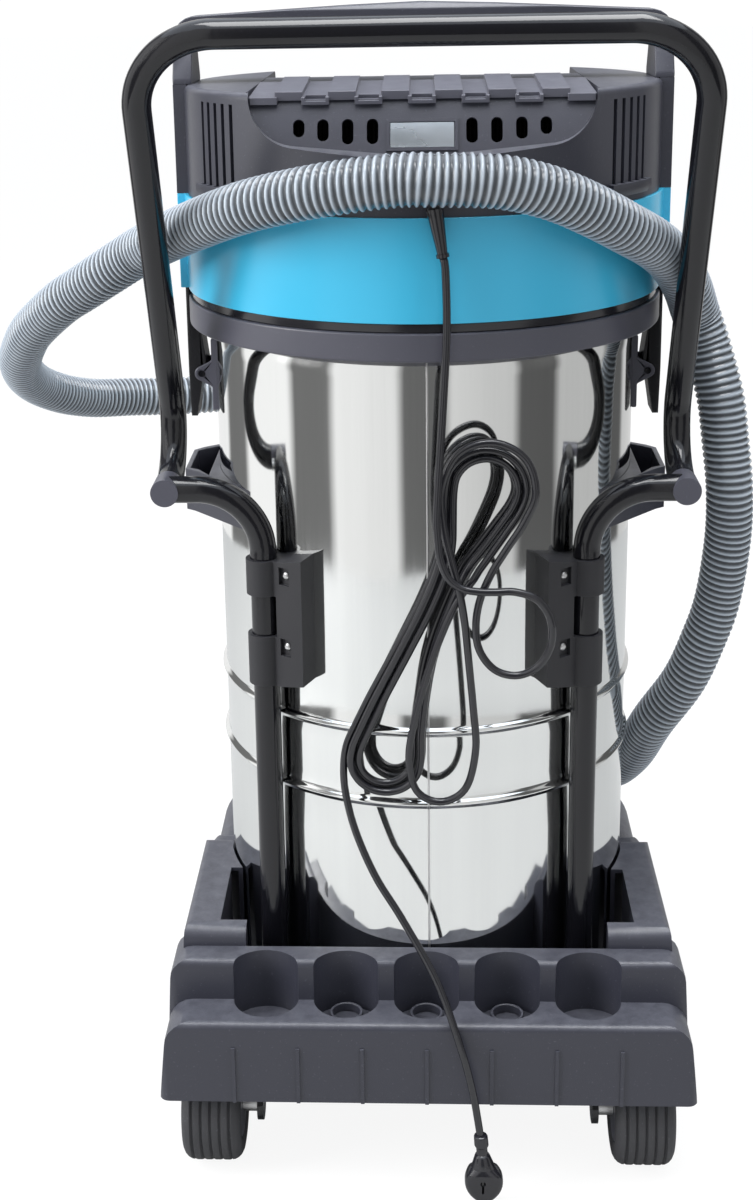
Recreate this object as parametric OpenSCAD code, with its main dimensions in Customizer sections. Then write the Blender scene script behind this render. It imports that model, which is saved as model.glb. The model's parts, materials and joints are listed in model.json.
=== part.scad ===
// Twin motor wet and dry vacuum cleaner on a wheeled base.
// Millimetres. +Z is up, the rear with the accessory shelf is at -Y, X runs from left to right.
// The origin is on the floor under the axis of the tank.

/* [Tank] */
// Outer diameter of the steel tank
tank_d = 410; // [390:5:430]
// Thickness of the tank sheet
tank_wall = 1.5; // [1:0.25:2.5]
// Height of the tank from its bottom to its rim
tank_h = 685; // [670:5:700]
// Height that each rolled bead stands out
bead_out = 4; // [2:0.5:4]
// Width of each rolled bead
bead_w = 12; // [8:1:16]
// Height of the lower bead above the tank bottom
bead_low = 241; // [220:1:260]
// Distance between the two beads
bead_gap = 73; // [60:1:76]

/* [Head] */
// How far the collar stands out past the tank
collar_out = 24; // [20:1:28]
// Height of the collar
collar_h = 25.5; // [22:0.5:30]
// Height of the seal above the collar
seal_h = 8.5; // [5:0.5:12]
// Height of the lower half of the head
head_h = 91; // [84:1:98]
// Height of the cover
cover_h = 101.5; // [96:0.5:108]
// Step from the lower half of the head in to the cover
cover_step = 3; // [1:0.5:5]
// Wall of the head mouldings
head_wall = 3.5; // [2.5:0.5:4.5]
// Width of the two side columns of the head
column_w = 70; // [56:2:80]
// How far the side columns stand out
column_out = 5; // [3:1:8]
// Half width of the deck between the shoulders of the cover
deck_half = 153; // [145:1:158]

/* [Carrying handle] */
// Height of the carrying handle above the cover
carry_h = 71.5; // [62:0.5:80]
// Width of the carrying handle's posts, across the machine
carry_post = 18; // [14:1:22]
// Depth of the crossbar of the carrying handle
carry_bar_depth = 46; // [36:2:56]

/* [Push handle] */
// Diameter of the handle and frame tubes
tube_d = 25; // [22:0.5:28]
// Wall of the tubes
tube_wall = 1.5; // [1:0.25:2.5]
// Height of the push bar above the floor
bar_z = 1080; // [1060:5:1100]
// Half width of the push handle at its bar
bar_half = 238; // [236:1:242]
// Distance of the push bar behind the tank axis
bar_back = 260; // [254:1:266]
// Height of the joint between the push handle and the frame tubes
joint_z = 668; // [655:1:680]
// Rake of the handle's legs from the vertical
rake = 25; // [24:0.5:26]
// Distance of the push handle's joint pieces' ends behind the tank axis
stub_back = 178; // [174:1:184]
// Centreline radius of the upper bends
bend_top = 70; // [60:1:80]
// Centreline radius of the lower bends
bend_low = 50; // [44:1:54]
// Centreline radius of the frame tube bends
bend_frame = 60; // [50:1:62]

/* [Clamps] */
// Azimuth of the frame tubes, from the rear
tube_az = 42.4; // [41:0.2:44]
// Azimuth of the inner edge of the clamps
clamp_az = 30; // [28:0.5:33]
// Wall of the clamps around the tube
clamp_wall = 4; // [3:0.5:6]
// Height of the lower end of the clamps, at the tube
clamp_z = 479; // [470:1:490]
// Height of the clamps at the tube
clamp_h = 123; // [112:1:130]
// How much higher the inner edge of the clamps lies
clamp_rise = 11; // [6:1:20]

/* [Side parts] */
// How far the side grips stand out from the tank
grip_out = 31; // [26:1:40]
// Height of the side grips
grip_h = 42; // [36:1:50]
// Height of the lower edge of the side grips
grip_z = 612; // [600:1:620]
// Wall of the side grips
grip_wall = 5; // [3:0.5:6]
// Width of the latch levers
latch_w = 34; // [26:2:38]
// Height of the latch pin
latch_pin_z = 745; // [738:1:750]
// Diameter of the latch pins
latch_pin_d = 6; // [4:1:7]

/* [Base] */
// Length of the base, front to rear
base_l = 556; // [550:2:570]
// Width of the rear part of the base
base_w = 508; // [504:2:520]
// Width of the front part of the base
base_front_w = 488; // [480:2:500]
// Width of the upper tier of the base
tier_w = 504; // [490:2:508]
// Clearance of the base's lower edge above the floor
base_z = 97; // [94:1:100]
// Height of the lower tier
shelf_h = 83; // [80:1:88]
// Height of the upper tier above the lower one
tier_h = 41; // [36:1:46]
// Height of the two side rails above the upper tier
rail_h = 18; // [12:1:22]
// Width of each side rail
rail_w = 34; // [30:1:38]
// Depth of the shelf in front of the upper tier
shelf_d = 43; // [40:1:46]
// How far the sides of the base draw in from their lower edge up to their rounding
base_draft = 7; // [2:1:10]
// Wall of the base
base_wall = 4; // [3:0.5:5]
// Height of the tank's seat above the floor
seat_z = 130; // [128:1:134]
// Distance between the accessory bays
bay_pitch = 76.5; // [74:0.5:80]
// Radius of the accessory bays
bay_r = 31; // [27:0.5:32]
// Diameter of the accessory spigots
spigot_d = 32; // [28:1:36]

/* [Wheels] */
// Diameter of the rear wheels
wheel_d = 110; // [106:1:112]
// Width of the rear wheels
wheel_w = 58; // [54:1:62]
// Half of the track of the rear wheels
wheel_half = 208; // [204:1:212]
// Diameter of the front castor wheels
castor_d = 75; // [70:1:77]
// Width of the front castor wheels
castor_w = 24; // [20:1:28]
// Trail of the front castors
castor_trail = 25; // [20:1:30]
// Running clearance of a pin in its bore, on the radius
run_gap = 0.05; // [0.02:0.01:0.1]

/* [Inside the head] */
// Half of the distance between the two motors
motor_half = 90; // [84:1:96]
// Diameter of the fan housings
fan_case_d = 136; // [124:2:140]
// Diameter of the float ball
ball_d = 68; // [60:1:72]

/* [Hose and cord] */
// Outer diameter of the suction hose
hose_d = 46; // [42:1:46]
// Inner diameter of the suction hose
hose_bore = 36; // [30:1:37]
// Number of ribs on the suction hose
hose_ribs = 160; // [80:1:190]
// Outer diameter of the inlet port
port_d = 46; // [40:1:48]
// Diameter of the mains cord
cord_d = 7; // [6:0.5:7]

/* [Hidden] */
$fn = 64;
eps = 0.01;
seat_gap = 0.3;

// heights of the stack
tank_r = tank_d / 2;
rim_z = seat_z + tank_h;
collar_z = rim_z - collar_h * 0.6;
seal_z = collar_z + collar_h;
head_z = seal_z + seal_h;
cover_z = head_z + head_h;
top_z = cover_z + cover_h;
head_r = tank_r + collar_out;
cover_r = head_r - cover_step;
column_x = head_r + column_out;

// tubes
tube_r = tube_d / 2;
tube_clear = 0.7;
tube_rad = tank_r + bead_out + tube_r + tube_clear;
tube_x = tube_rad * sin(tube_az);
tube_y = -tube_rad * cos(tube_az);
leg_length = (bar_z - joint_z) / cos(rake);
low_back = bar_back - leg_length * sin(rake);
low_cut = bend_low * tan((90 + rake) / 2);
joint_r = tube_r + 0.4;

// base
shelf_z = base_z + shelf_h;
tier_z = shelf_z + tier_h;
rear_y = -base_l / 2;
rib_out = 1.5;
front_y = base_l / 2 + rib_out;
tier_y = rear_y + shelf_d;
well_gap = 2;
well_r = tank_r + well_gap;
socket_h = 20;
spigot_h = 9;
spigot_wall = 3;
well_half = tube_x + tube_r + clamp_wall + 7.7;
well_y = -well_r - 1;
rail_x = tier_w / 2 - 11;
rail_end_y = -14;
well_side = rail_x - base_draft - rail_w;
floor_t = 4;
bay_xs = [for (i = [-2:2]) i * bay_pitch];
bay_y = tier_y + 1;
bay_z = shelf_z - 20;

// wheels
wheel_r = wheel_d / 2;
wheel_y = rear_y + 62;
axle_r = 6;
bracket_x = wheel_half - wheel_w / 2 - 13;
bracket_t = 6;
castor_r = castor_d / 2;
castor_x = 160;
castor_y = base_l / 2 - 113;
castor_top = 118;
crown_z = castor_r * 2 + 17;
kingpin_r = 5;
castor_axle_r = 4;

// colours
black_plastic = [0.20, 0.20, 0.22];
dark_plastic = [0.30, 0.29, 0.32];
blue_plastic = [0.10, 0.55, 0.72];
steel = [0.80, 0.81, 0.80];
gloss_black = [0.08, 0.08, 0.09];
rubber_black = [0.12, 0.12, 0.13];
hose_grey = [0.68, 0.70, 0.71];
zinc = [0.62, 0.63, 0.64];
cloth_white = [0.90, 0.89, 0.85];

// ---------- helpers ----------

function arc(c, r, a0, a1, n = 5) =
    [for (i = [0:n]) c + r * [cos(a0 + (a1 - a0) * i / n), sin(a0 + (a1 - a0) * i / n)]];
function unit(v) = v / norm(v);
function any_normal(d) = unit(cross(d, abs(d.z) > 0.8 ? [1, 0, 0] : [0, 0, 1]));
function placing(o, x, y, z) =
    [[x.x, y.x, z.x, o.x], [x.y, y.y, z.y, o.y], [x.z, y.z, z.z, o.z], [0, 0, 0, 1]];

// the children on both sides of the machine
module both_sides() {
    children();
    mirror([1, 0, 0]) children();
}

// extrusion of a side view, drawn as [Y, Z], over the width from -half to half
module across(half) {
    rotate([90, 0, 90]) translate([0, 0, -half]) linear_extrude(2 * half) children();
}

// extrusion of a rear view, drawn as [X, Z], from y0 to y1
module along(y0, y1) {
    translate([0, y1, 0]) rotate([90, 0, 0]) linear_extrude(y1 - y0) children();
}

module ring(r_out, r_in, z0, z1) {
    translate([0, 0, z0]) difference() {
        cylinder(r = r_out, h = z1 - z0);
        translate([0, 0, -1]) cylinder(r = r_in, h = z1 - z0 + 2);
    }
}

// a cylinder from point a to point b
module rod(a, b, r1, r2) {
    d = unit(b - a);
    n = any_normal(d);
    multmatrix(placing(a, n, cross(d, n), d)) cylinder(r1 = r1, r2 = r2, h = norm(b - a));
}

// hollow tube of the given length, from the origin along +Z
module tube_run(length) {
    ring(tube_r, tube_r - tube_wall, 0, length);
}

// hollow tube bend that starts at the origin along +Z and turns towards +X; the children go on from its end
module tube_bend(radius, turn) {
    translate([radius, 0, 0]) rotate([90, 0, 180]) rotate_extrude(angle = turn) translate([radius, 0])
        difference() {
            circle(tube_r);
            circle(tube_r - tube_wall);
        }
    translate([radius, 0, 0]) rotate([0, turn, 0]) translate([-radius, 0, 0]) children();
}

// ---------- swept tubes ----------

// point at t along one span of a smooth curve through p1 and p2
function span(p0, p1, p2, p3, t) =
    0.5 * (2 * p1 + (p2 - p0) * t + (2 * p0 - 5 * p1 + 4 * p2 - p3) * t * t
        + (3 * p1 - p0 - 3 * p2 + p3) * t * t * t);
function smooth(p, steps) = let (n = len(p) - 1) [
    for (i = [0:n - 1], k = [0:steps - 1])
        span(p[max(i - 1, 0)], p[i], p[i + 1], p[min(i + 2, n)], k / steps),
    p[n]];
function run_lengths(p) = [for (i = 0, s = 0; i < len(p); s = s + (i + 1 < len(p) ? norm(p[i + 1] - p[i]) : 0),
    i = i + 1) s];
// count + 1 points at even spacing along a polyline
function even(p, count) = let (
    s = run_lengths(p), total = s[len(s) - 1],
    tx = [for (i = [0:len(p) - 1]) [s[i], p[i].x]],
    ty = [for (i = [0:len(p) - 1]) [s[i], p[i].y]],
    tz = [for (i = [0:len(p) - 1]) [s[i], p[i].z]])
    [for (k = [0:count]) let (d = total * k / count) [lookup(d, tx), lookup(d, ty), lookup(d, tz)]];
function route_length(p) = let (s = run_lengths(p)) s[len(s) - 1];
// tangents, with given directions at the two ends
function tangents(p, first, last) = let (n = len(p) - 1)
    [for (i = [0:n]) i == 0 ? unit(first) : i == n ? unit(last) : unit(p[i + 1] - p[i - 1])];
// normals carried along without twist
function normals(t) = [for (i = 0, v = any_normal(t[0]); i < len(t);
    v = i + 1 < len(t) ? unit(v - (v * t[i + 1]) * t[i + 1]) : v, i = i + 1) v];
function rings(p, t, v, radii, sides) = [for (i = [0:len(p) - 1], k = [0:sides - 1])
    let (b = cross(t[i], v[i]), a = 360 * k / sides) p[i] + radii[i] * (cos(a) * v[i] + sin(a) * b)];
function skin(count, sides, base, out) = [for (i = [0:count - 2], k = [0:sides - 1])
    let (a = base + i * sides + k, b = base + i * sides + (k + 1) % sides, c = a + sides, d = b + sides)
    each out ? [[a, c, b], [b, c, d]] : [[a, b, c], [b, d, c]]];

// solid tube along the points
module swept(p, first, last, r, sides) {
    t = tangents(p, first, last);
    n = len(p);
    polyhedron(
        rings(p, t, normals(t), [for (q = p) r], sides),
        concat([[for (k = [0:sides - 1]) k]], skin(n, sides, 0, true),
            [[for (k = [sides - 1:-1:0]) (n - 1) * sides + k]]));
}

// ribbed tube with a bore along the points, two rings for each rib
module ribbed(p, first, last, r_crest, r_root, r_bore, sides) {
    t = tangents(p, first, last);
    v = normals(t);
    n = len(p);
    pick = [for (i = [0:4:n - 1]) i];
    bore_at = pick[len(pick) - 1] == n - 1 ? pick : concat(pick, [n - 1]);
    m = len(bore_at);
    outer = rings(p, t, v, [for (i = [0:n - 1]) i % 2 == 0 ? r_root : r_crest], sides);
    inner = rings([for (i = bore_at) p[i]], [for (i = bore_at) t[i]], [for (i = bore_at) v[i]],
        [for (i = bore_at) r_bore], sides);
    b = n * sides;
    polyhedron(concat(outer, inner), concat(
        skin(n, sides, 0, true),
        skin(m, sides, b, false),
        [for (k = [0:sides - 1]) let (j = (k + 1) % sides) each [[k, j, b + k], [j, b + j, b + k]]],
        [for (k = [0:sides - 1]) let (j = (k + 1) % sides, o = (n - 1) * sides, q = b + (m - 1) * sides)
            each [[o + k, q + k, o + j], [o + j, q + k, q + j]]]));
}

// ---------- base ----------

// plan outline with rounded rear and front corners, drawn in by t
function plan(half, y0, y1, r_rear, r_front, t) = concat(
    arc([-half + r_rear, y0 + r_rear], r_rear - t, 270, 180, 6),
    arc([-half + r_front, y1 - r_front], r_front - t, 180, 90, 10),
    arc([half - r_front, y1 - r_front], r_front - t, 90, 0, 10),
    arc([half - r_rear, y0 + r_rear], r_rear - t, 0, -90, 6));

// one tier of the base: plan outline, rounded rear and front edges, sides that draw in to a rounded shoulder
module tier(half, y0, y1, r_rear, r_front, top, r_edge, r_side, t) {
    low = base_z - (t > 0 ? 1 : 0);
    spare = 5;
    e = r_edge - t;
    s = r_side - t;
    side = half - base_draft;
    intersection() {
        translate([0, 0, low]) linear_extrude(top + spare - low) polygon(plan(half, y0, y1, r_rear, r_front, t));
        across(half + spare) polygon(concat(
            [[y0 - spare, low - 1], [y0 - spare, top - r_edge]],
            arc([y0 + r_edge, top - r_edge], e, 180, 90),
            arc([y1 - r_edge, top - r_edge], e, 90, 0),
            [[y1 + spare, top - r_edge], [y1 + spare, low - 1]]));
        along(y0 - spare, y1 + spare) polygon(concat(
            [[-half + t, base_z - spare]],
            arc([-side + r_side, top - r_side], s, 180, 90),
            arc([side - r_side, top - r_side], s, 90, 0),
            [[half - t, base_z - spare]]));
    }
}

module base_form(t) {
    tier(base_front_w / 2, rear_y + 30, front_y, 30, 140, shelf_z, 12, 18, t);
    tier(base_w / 2, rear_y, rear_y + 128, 10, 14, shelf_z, 7, 24, t);
    tier(tier_w / 2, tier_y, tier_y + 52, 12, 8, tier_z, 7, 20, t);
    tier(rail_x - 1, tier_y + 20, 26, 30, 30, tier_z, 9, 14, t);
    tier(rail_x, well_y, rail_end_y, 8, 24, tier_z + rail_h, 16, 6, t);
}

// the open well around the tank and the frame tubes, widened by t
module well_outline(t) {
    circle(well_r + t);
    translate([-well_half - t, well_y - t]) square([2 * (well_half + t), -well_y / 2]);
    translate([-well_side - t, well_y + rail_h - t]) square([2 * (well_side + t), -well_y / 2]);
}

// one accessory bay, widened by t
module bay_outline(x, t) {
    intersection() {
        translate([x, bay_y]) circle(bay_r + t);
        translate([x, bay_y - 15]) circle(bay_r + 3 + t);
    }
}

module castor_boss() {
    translate([castor_x, castor_y, castor_top]) cylinder(r = 34, h = shelf_z - 2 - castor_top);
}

module trolley_base() {
    color(black_plastic) difference() {
        union() {
            difference() {
                base_form(0);
                difference() {
                    base_form(base_wall);
                    translate([0, 0, seat_z - floor_t]) linear_extrude(tier_h * 4) well_outline(base_wall);
                    for (x = bay_xs)
                        translate([0, 0, bay_z - base_wall]) linear_extrude(tier_h * 3) bay_outline(x, base_wall);
                    both_sides() castor_boss();
                }
            }
            both_sides() castor_boss();
            for (x = [-3:3]) translate([x * bay_pitch * 0.793 - 1.75, rear_y - rib_out, base_z])
                cube([3.5, 2 * rib_out, shelf_h * 0.7]);
        }
        translate([0, 0, seat_z]) linear_extrude(tier_h * 4) well_outline(0);
        for (x = bay_xs) translate([0, 0, bay_z]) linear_extrude(tier_h * 3) bay_outline(x, 0);
    }
}

// raised rings in the three middle bays, which hold the ends of suction tubes
module bay_spigots() {
    color(black_plastic) for (x = [-1:1]) translate([x * bay_pitch, tier_y - 1, 0])
        ring(spigot_d / 2, spigot_d / 2 - spigot_wall, bay_z, bay_z + spigot_h);
}

// sockets on the floor of the well, which hold the lower ends of the frame tubes
module tube_sockets() {
    color(black_plastic) both_sides() translate([tube_x, tube_y, 0])
        ring(tube_r + clamp_wall, tube_r + run_gap, seat_z, seat_z + socket_h);
}

// ---------- rear wheels ----------

module rear_brackets() {
    flange_z = seat_z - floor_t;
    plate_z = flange_z - 4;
    color(gloss_black) both_sides() difference() {
        union() {
            translate([bracket_x - 52, wheel_y + 18, plate_z]) cube([52, 58, 4]);
            translate([bracket_x - bracket_t, 0, 0]) rotate([90, 0, 90]) linear_extrude(bracket_t)
                hull() {
                    translate([wheel_y, wheel_r]) circle(18, $fn = 32);
                    translate([wheel_y + 18, plate_z - 4]) square([58, 4 + eps]);
                }
        }
        translate([bracket_x - 20, wheel_y, wheel_r]) rotate([0, 90, 0]) cylinder(r = axle_r, h = 30);
        for (x = [16, 36], y = [30, 64])
            translate([bracket_x - x - bracket_t, wheel_y + y, plate_z - 1]) cylinder(r = 3.2, h = 6);
    }
}

module rear_axles() {
    hub_in = wheel_half - wheel_w / 2 + 2;
    hub_out = wheel_half + wheel_w / 2 - 2;
    color(zinc) both_sides() translate([0, wheel_y, wheel_r]) rotate([0, 90, 0]) {
        translate([0, 0, bracket_x - bracket_t]) cylinder(r = axle_r, h = hub_out + 3 - bracket_x + bracket_t);
        translate([0, 0, bracket_x]) cylinder(r = 10, h = hub_in - seat_gap - bracket_x);
        translate([0, 0, hub_out + seat_gap]) cylinder(r = 10, h = 2.7);
    }
}

module rear_hub(side) {
    color(dark_plastic) translate([side * wheel_half, wheel_y, wheel_r]) rotate([0, 90, 0])
        ring(wheel_r - 21, axle_r + run_gap, 2 - wheel_w / 2, wheel_w / 2 - 2);
}

module rear_tyre(side) {
    shoulder = 12;
    half = wheel_w / 2;
    groove = 1.5;
    color(rubber_black) translate([side * wheel_half, wheel_y, wheel_r]) rotate([0, 90, 0])
        rotate_extrude($fn = 96) difference() {
            polygon(concat(
                [[wheel_r - 21, -half + 2], [wheel_r - 21, half - 2]],
                arc([wheel_r - shoulder, half - shoulder], shoulder, 90, 0),
                arc([wheel_r - shoulder, shoulder - half], shoulder, 0, -90)));
            for (i = [-2:2]) translate([wheel_r - groove, i * 9 - 1]) square([groove + 1, 2]);
        }
}

// ---------- front castors ----------

module castor_plates() {
    color(zinc) both_sides() translate([castor_x, castor_y, 0]) difference() {
        union() {
            translate([0, 0, castor_top - 4]) cylinder(r = 32, h = 4);
            translate([0, 0, crown_z + 8]) cylinder(r = 16, h = castor_top - crown_z - 8);
        }
        translate([0, 0, crown_z]) cylinder(r = kingpin_r + run_gap, h = castor_top);
    }
}

module castor_fork(side) {
    inner = castor_w / 2 + 2;
    leg = 4;
    color(zinc) translate([side * castor_x, castor_y, 0]) {
        translate([0, 0, crown_z]) cylinder(r = 22, h = 8 - seat_gap);
        translate([0, 0, crown_z]) cylinder(r = kingpin_r, h = castor_top - crown_z - 2);
        for (s = [-1, 1]) difference() {
            translate([s * (inner + leg / 2) - leg / 2, 0, 0]) rotate([90, 0, 90]) linear_extrude(leg) hull() {
                translate([-castor_trail, castor_r]) circle(9, $fn = 32);
                translate([-13, crown_z]) square([26, 6]);
            }
            translate([-30, -castor_trail, castor_r]) rotate([0, 90, 0]) cylinder(r = castor_axle_r, h = 60);
        }
    }
}

module castor_axle(side) {
    half = castor_w / 2 + 6;
    color(zinc) translate([side * castor_x, castor_y - castor_trail, castor_r]) rotate([0, 90, 0]) {
        translate([0, 0, -half - 3]) cylinder(r = castor_axle_r, h = 2 * half + 6);
        for (s = [-1, 1]) translate([0, 0, s * (half + 1.5) - 1.5]) cylinder(r = 7, h = 3);
    }
}

module castor_hub(side) {
    half = castor_w / 2 + 1.5;
    color(dark_plastic) translate([side * castor_x, castor_y - castor_trail, castor_r]) rotate([0, 90, 0])
        difference() {
            union() {
                translate([0, 0, -castor_w / 2 + 1]) cylinder(r = castor_r - 13, h = castor_w - 2);
                translate([0, 0, -half]) cylinder(r = 9, h = 2 * half);
            }
            translate([0, 0, -half - 1]) cylinder(r = castor_axle_r + run_gap, h = 2 * half + 2);
        }
}

module castor_tyre(side) {
    half = castor_w / 2;
    color(rubber_black) translate([side * castor_x, castor_y - castor_trail, castor_r]) rotate([0, 90, 0])
        rotate_extrude() polygon(concat(
            [[castor_r - 13, 1 - half], [castor_r - 13, half - 1]],
            arc([castor_r - 8, half - 8], 8, 90, 0),
            arc([castor_r - 8, 8 - half], 8, 0, -90)));
}

// ---------- tank ----------

// outline of one bead at height z, on radius r, from bottom to top
function bead(r, z) = [for (i = [0:8]) [r + bead_out * (1 - cos(i * 45)) / 2, z + bead_w * (i / 8 - 0.5)]];

module tank_drum() {
    z1 = seat_z + bead_low;
    z2 = z1 + bead_gap;
    r_in = tank_r - tank_wall;
    corner = 8;
    outer = concat([[0, seat_z]], arc([tank_r - corner, seat_z + corner], corner, -90, 0),
        bead(tank_r, z1), bead(tank_r, z2), [[tank_r, rim_z]]);
    inner = concat([[0, seat_z + tank_wall]],
        arc([tank_r - corner, seat_z + corner], corner - tank_wall, -90, 0),
        bead(r_in, z1), bead(r_in, z2), [[r_in, rim_z]]);
    color(steel) difference() {
        rotate_extrude($fn = 128) polygon(concat(outer, [for (i = [len(inner) - 1:-1:0]) inner[i]]));
        translate([0, tank_r - 20, port_z]) rotate([-90, 0, 0]) cylinder(r = port_d / 2 - 3, h = 40);
    }
}

port_z = 670;
port_end = tank_r + 45;

module inlet_port() {
    color(black_plastic) difference() {
        union() {
            translate([0, tank_r - 12, port_z]) rotate([-90, 0, 0]) cylinder(r = port_d / 2 + 18, h = 22);
            translate([0, tank_r - 12, port_z]) rotate([-90, 0, 0]) cylinder(r = port_d / 2, h = port_end - tank_r + 12);
        }
        translate([0, 0, port_z - 100]) cylinder(r = tank_r, h = 200, $fn = 128);
        translate([0, tank_r - 30, port_z]) rotate([-90, 0, 0]) cylinder(r = port_d / 2 - 3, h = 100);
    }
}

module tank_collar() {
    notch = latch_w / 2 + 5;
    color(dark_plastic) difference() {
        translate([0, 0, collar_z]) rotate_extrude($fn = 128) polygon(concat(
            [[tank_r, 0], [head_r - 2, 0]],
            arc([head_r - 2, 2], 2, -90, 0, 3),
            arc([head_r - 2, collar_h - 2], 2, 0, 90, 3),
            [[tank_r - 12, collar_h], [tank_r - 12, rim_z - collar_z], [tank_r, rim_z - collar_z]]));
        both_sides() translate([tank_r + 7, -notch, collar_z - 1]) cube([40, 2 * notch, collar_h + 2]);
    }
}

module head_seal() {
    color(rubber_black) ring(head_r - 3, tank_r - 5, seal_z, head_z);
}

// open pockets on the two sides of the tank
module side_grips() {
    out = tank_r + grip_out;
    w = grip_wall;
    color(black_plastic) both_sides() difference() {
        translate([0, 0, grip_z]) linear_extrude(grip_h) polygon([
            [tank_r * 0.8, -tank_r * 0.6], [out - 9, -50], [out, -43], [out, 28], [out - 8, 38], [tank_r - 8, 62]]);
        translate([0, 0, grip_z - 1]) cylinder(r = tank_r, h = grip_h + 2, $fn = 128);
        translate([0, 0, grip_z + w]) linear_extrude(grip_h) polygon([
            [tank_r + w, -66], [out - 9 - w, -46], [out - w, -40], [out - w, 25], [out - 8 - w, 33],
            [tank_r + w, 44]]);
    }
}

// ---------- latches ----------

latch_x = tank_r + 14;
latch_pin_r = latch_pin_d / 2;
ear_t = 4;

module latch_brackets() {
    ear_y = latch_w / 2 + 0.5;
    color(dark_plastic) both_sides() difference() {
        union() {
            translate([tank_r - 4, -ear_y - ear_t, latch_pin_z - 37]) cube([8, 2 * (ear_y + ear_t), 72]);
            for (s = [-1, 1]) translate([0, s * (ear_y + ear_t / 2) - ear_t / 2, 0])
                along(0, ear_t) hull() {
                    translate([latch_x, latch_pin_z]) circle(7, $fn = 32);
                    translate([tank_r, latch_pin_z - 14]) square([2, 28]);
                }
        }
        translate([0, 0, latch_pin_z - 60]) cylinder(r = tank_r, h = 120, $fn = 128);
        translate([latch_x, -60, latch_pin_z]) rotate([-90, 0, 0]) cylinder(r = latch_pin_r, h = 120);
        translate([latch_x - 7.3, -ear_y, latch_pin_z]) translate([-10, 0, -60])
            translate([10 - 2.5, 0, 0]) cube([30, 2 * ear_y, 120]);
    }
}

module latch_pins() {
    half = latch_w / 2 + 0.5 + ear_t;
    color(gloss_black) both_sides() translate([latch_x, -half - 1, latch_pin_z]) rotate([-90, 0, 0])
        cylinder(r = latch_pin_r, h = 2 * half + 2);
}

module latch_lever(side) {
    hook = head_z + 7;
    color(gloss_black) mirror([side < 0 ? 1 : 0, 0, 0]) difference() {
        along(-latch_w / 2, latch_w / 2) polygon(concat(
            [[tank_r + 20, latch_pin_z - 44], [tank_r + 26, latch_pin_z - 44], [tank_r + 27, latch_pin_z],
                [head_r + 3, collar_z], [head_r + 3, hook + 6.5], [head_r - 5, hook + 6.5], [head_r - 5, hook],
                [head_r - 1.5, hook], [head_r - 1.5, seal_z], [tank_r + 14, collar_z - 8]],
            arc([latch_x, latch_pin_z], 6, 180, 270)));
        translate([latch_x, -latch_w, latch_pin_z]) rotate([-90, 0, 0])
            cylinder(r = latch_pin_r + run_gap, h = 2 * latch_w);
    }
}

// ---------- frame tubes and clamps ----------

module frame_tube(side) {
    color(gloss_black) mirror([side < 0 ? 1 : 0, 0, 0]) difference() {
        translate([tube_x, tube_y, seat_z]) {
            tube_run(joint_z - bend_frame - seat_z);
            translate([0, 0, joint_z - bend_frame - seat_z]) tube_bend(bend_frame, 90)
                tube_run(bar_half - 2 - tube_x - bend_frame);
        }
        translate([bar_half, tube_y - 30, joint_z]) rotate([-90, 0, 0]) cylinder(r = joint_r, h = 60);
    }
}

module tank_clamps() {
    out = tank_r + 21;
    color(black_plastic) both_sides() difference() {
        intersection() {
            translate([0, 0, clamp_z - 1]) linear_extrude(clamp_h + clamp_rise + 2) {
                intersection() {
                    circle(out, $fn = 128);
                    polygon([[0, 0], 400 * [sin(clamp_az), -cos(clamp_az)], 400 * [sin(tube_az), -cos(tube_az)]]);
                }
                translate([tube_x, tube_y]) circle(tube_r + clamp_wall);
            }
            along(-260, -100) polygon([
                [tube_x + 17, clamp_z], [tube_x + 17, clamp_z + clamp_h], [tube_x - 14, clamp_z + clamp_h],
                [tube_x - 60, clamp_z + clamp_h + clamp_rise], [tube_x - 60, clamp_z + clamp_rise],
                [tube_x - 14, clamp_z]]);
        }
        translate([0, 0, clamp_z - 10]) cylinder(r = tank_r, h = clamp_h * 2, $fn = 128);
        translate([tube_x, tube_y, clamp_z - 10]) cylinder(r = tube_r, h = clamp_h * 2);
        translate([tube_x - 12, -260, clamp_z + 49]) cube([60, 160, 40]);
        for (p = screw_places) translate([0, 0, p.y]) rotate([0, 0, p.x])
            translate([-6, -out - 5, -9]) cube([12, 9, 17]);
    }
}

// azimuth and height of the screws of one clamp
screw_places = [[35, clamp_z + 41], [35, clamp_z + 111]];

module clamp_screws() {
    seat = tank_r + 17;
    color(zinc) both_sides() for (p = screw_places)
        translate([0, 0, p.y]) rotate([0, 0, p.x]) translate([0, -seat, 0]) rotate([90, 0, 0]) {
            cylinder(r = 3.5, h = 1.2);
            translate([0, 0, 1.2]) cylinder(r1 = 3.5, r2 = 2, h = 1.2);
        }
}

// ---------- push handle ----------

// one half of the handle: bar, upper bend, raked leg and lower bend
module handle_half() {
    leg = leg_length - bend_top - low_cut;
    translate([0, -bar_back, bar_z]) rotate([rake, 0, 0]) rotate([0, 90, 0]) {
        tube_run(bar_half - bend_top);
        translate([0, 0, bar_half - bend_top]) tube_bend(bend_top, 90) {
            tube_run(leg);
            translate([0, 0, leg]) rotate([0, 0, -90]) tube_bend(bend_low, 90 + rake);
        }
    }
}

module push_handle() {
    color(gloss_black) both_sides() handle_half();
}

// joint pieces between the handle and the frame tubes, with a spigot in the handle
module handle_joints() {
    length = stub_back - low_back - low_cut;
    color(dark_plastic) both_sides() translate([bar_half, -stub_back, joint_z]) rotate([-90, 0, 0]) {
        cylinder(r = joint_r, h = length);
        translate([0, 0, length - 1]) cylinder(r = tube_r - tube_wall - seat_gap, h = 5);
    }
}

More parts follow.
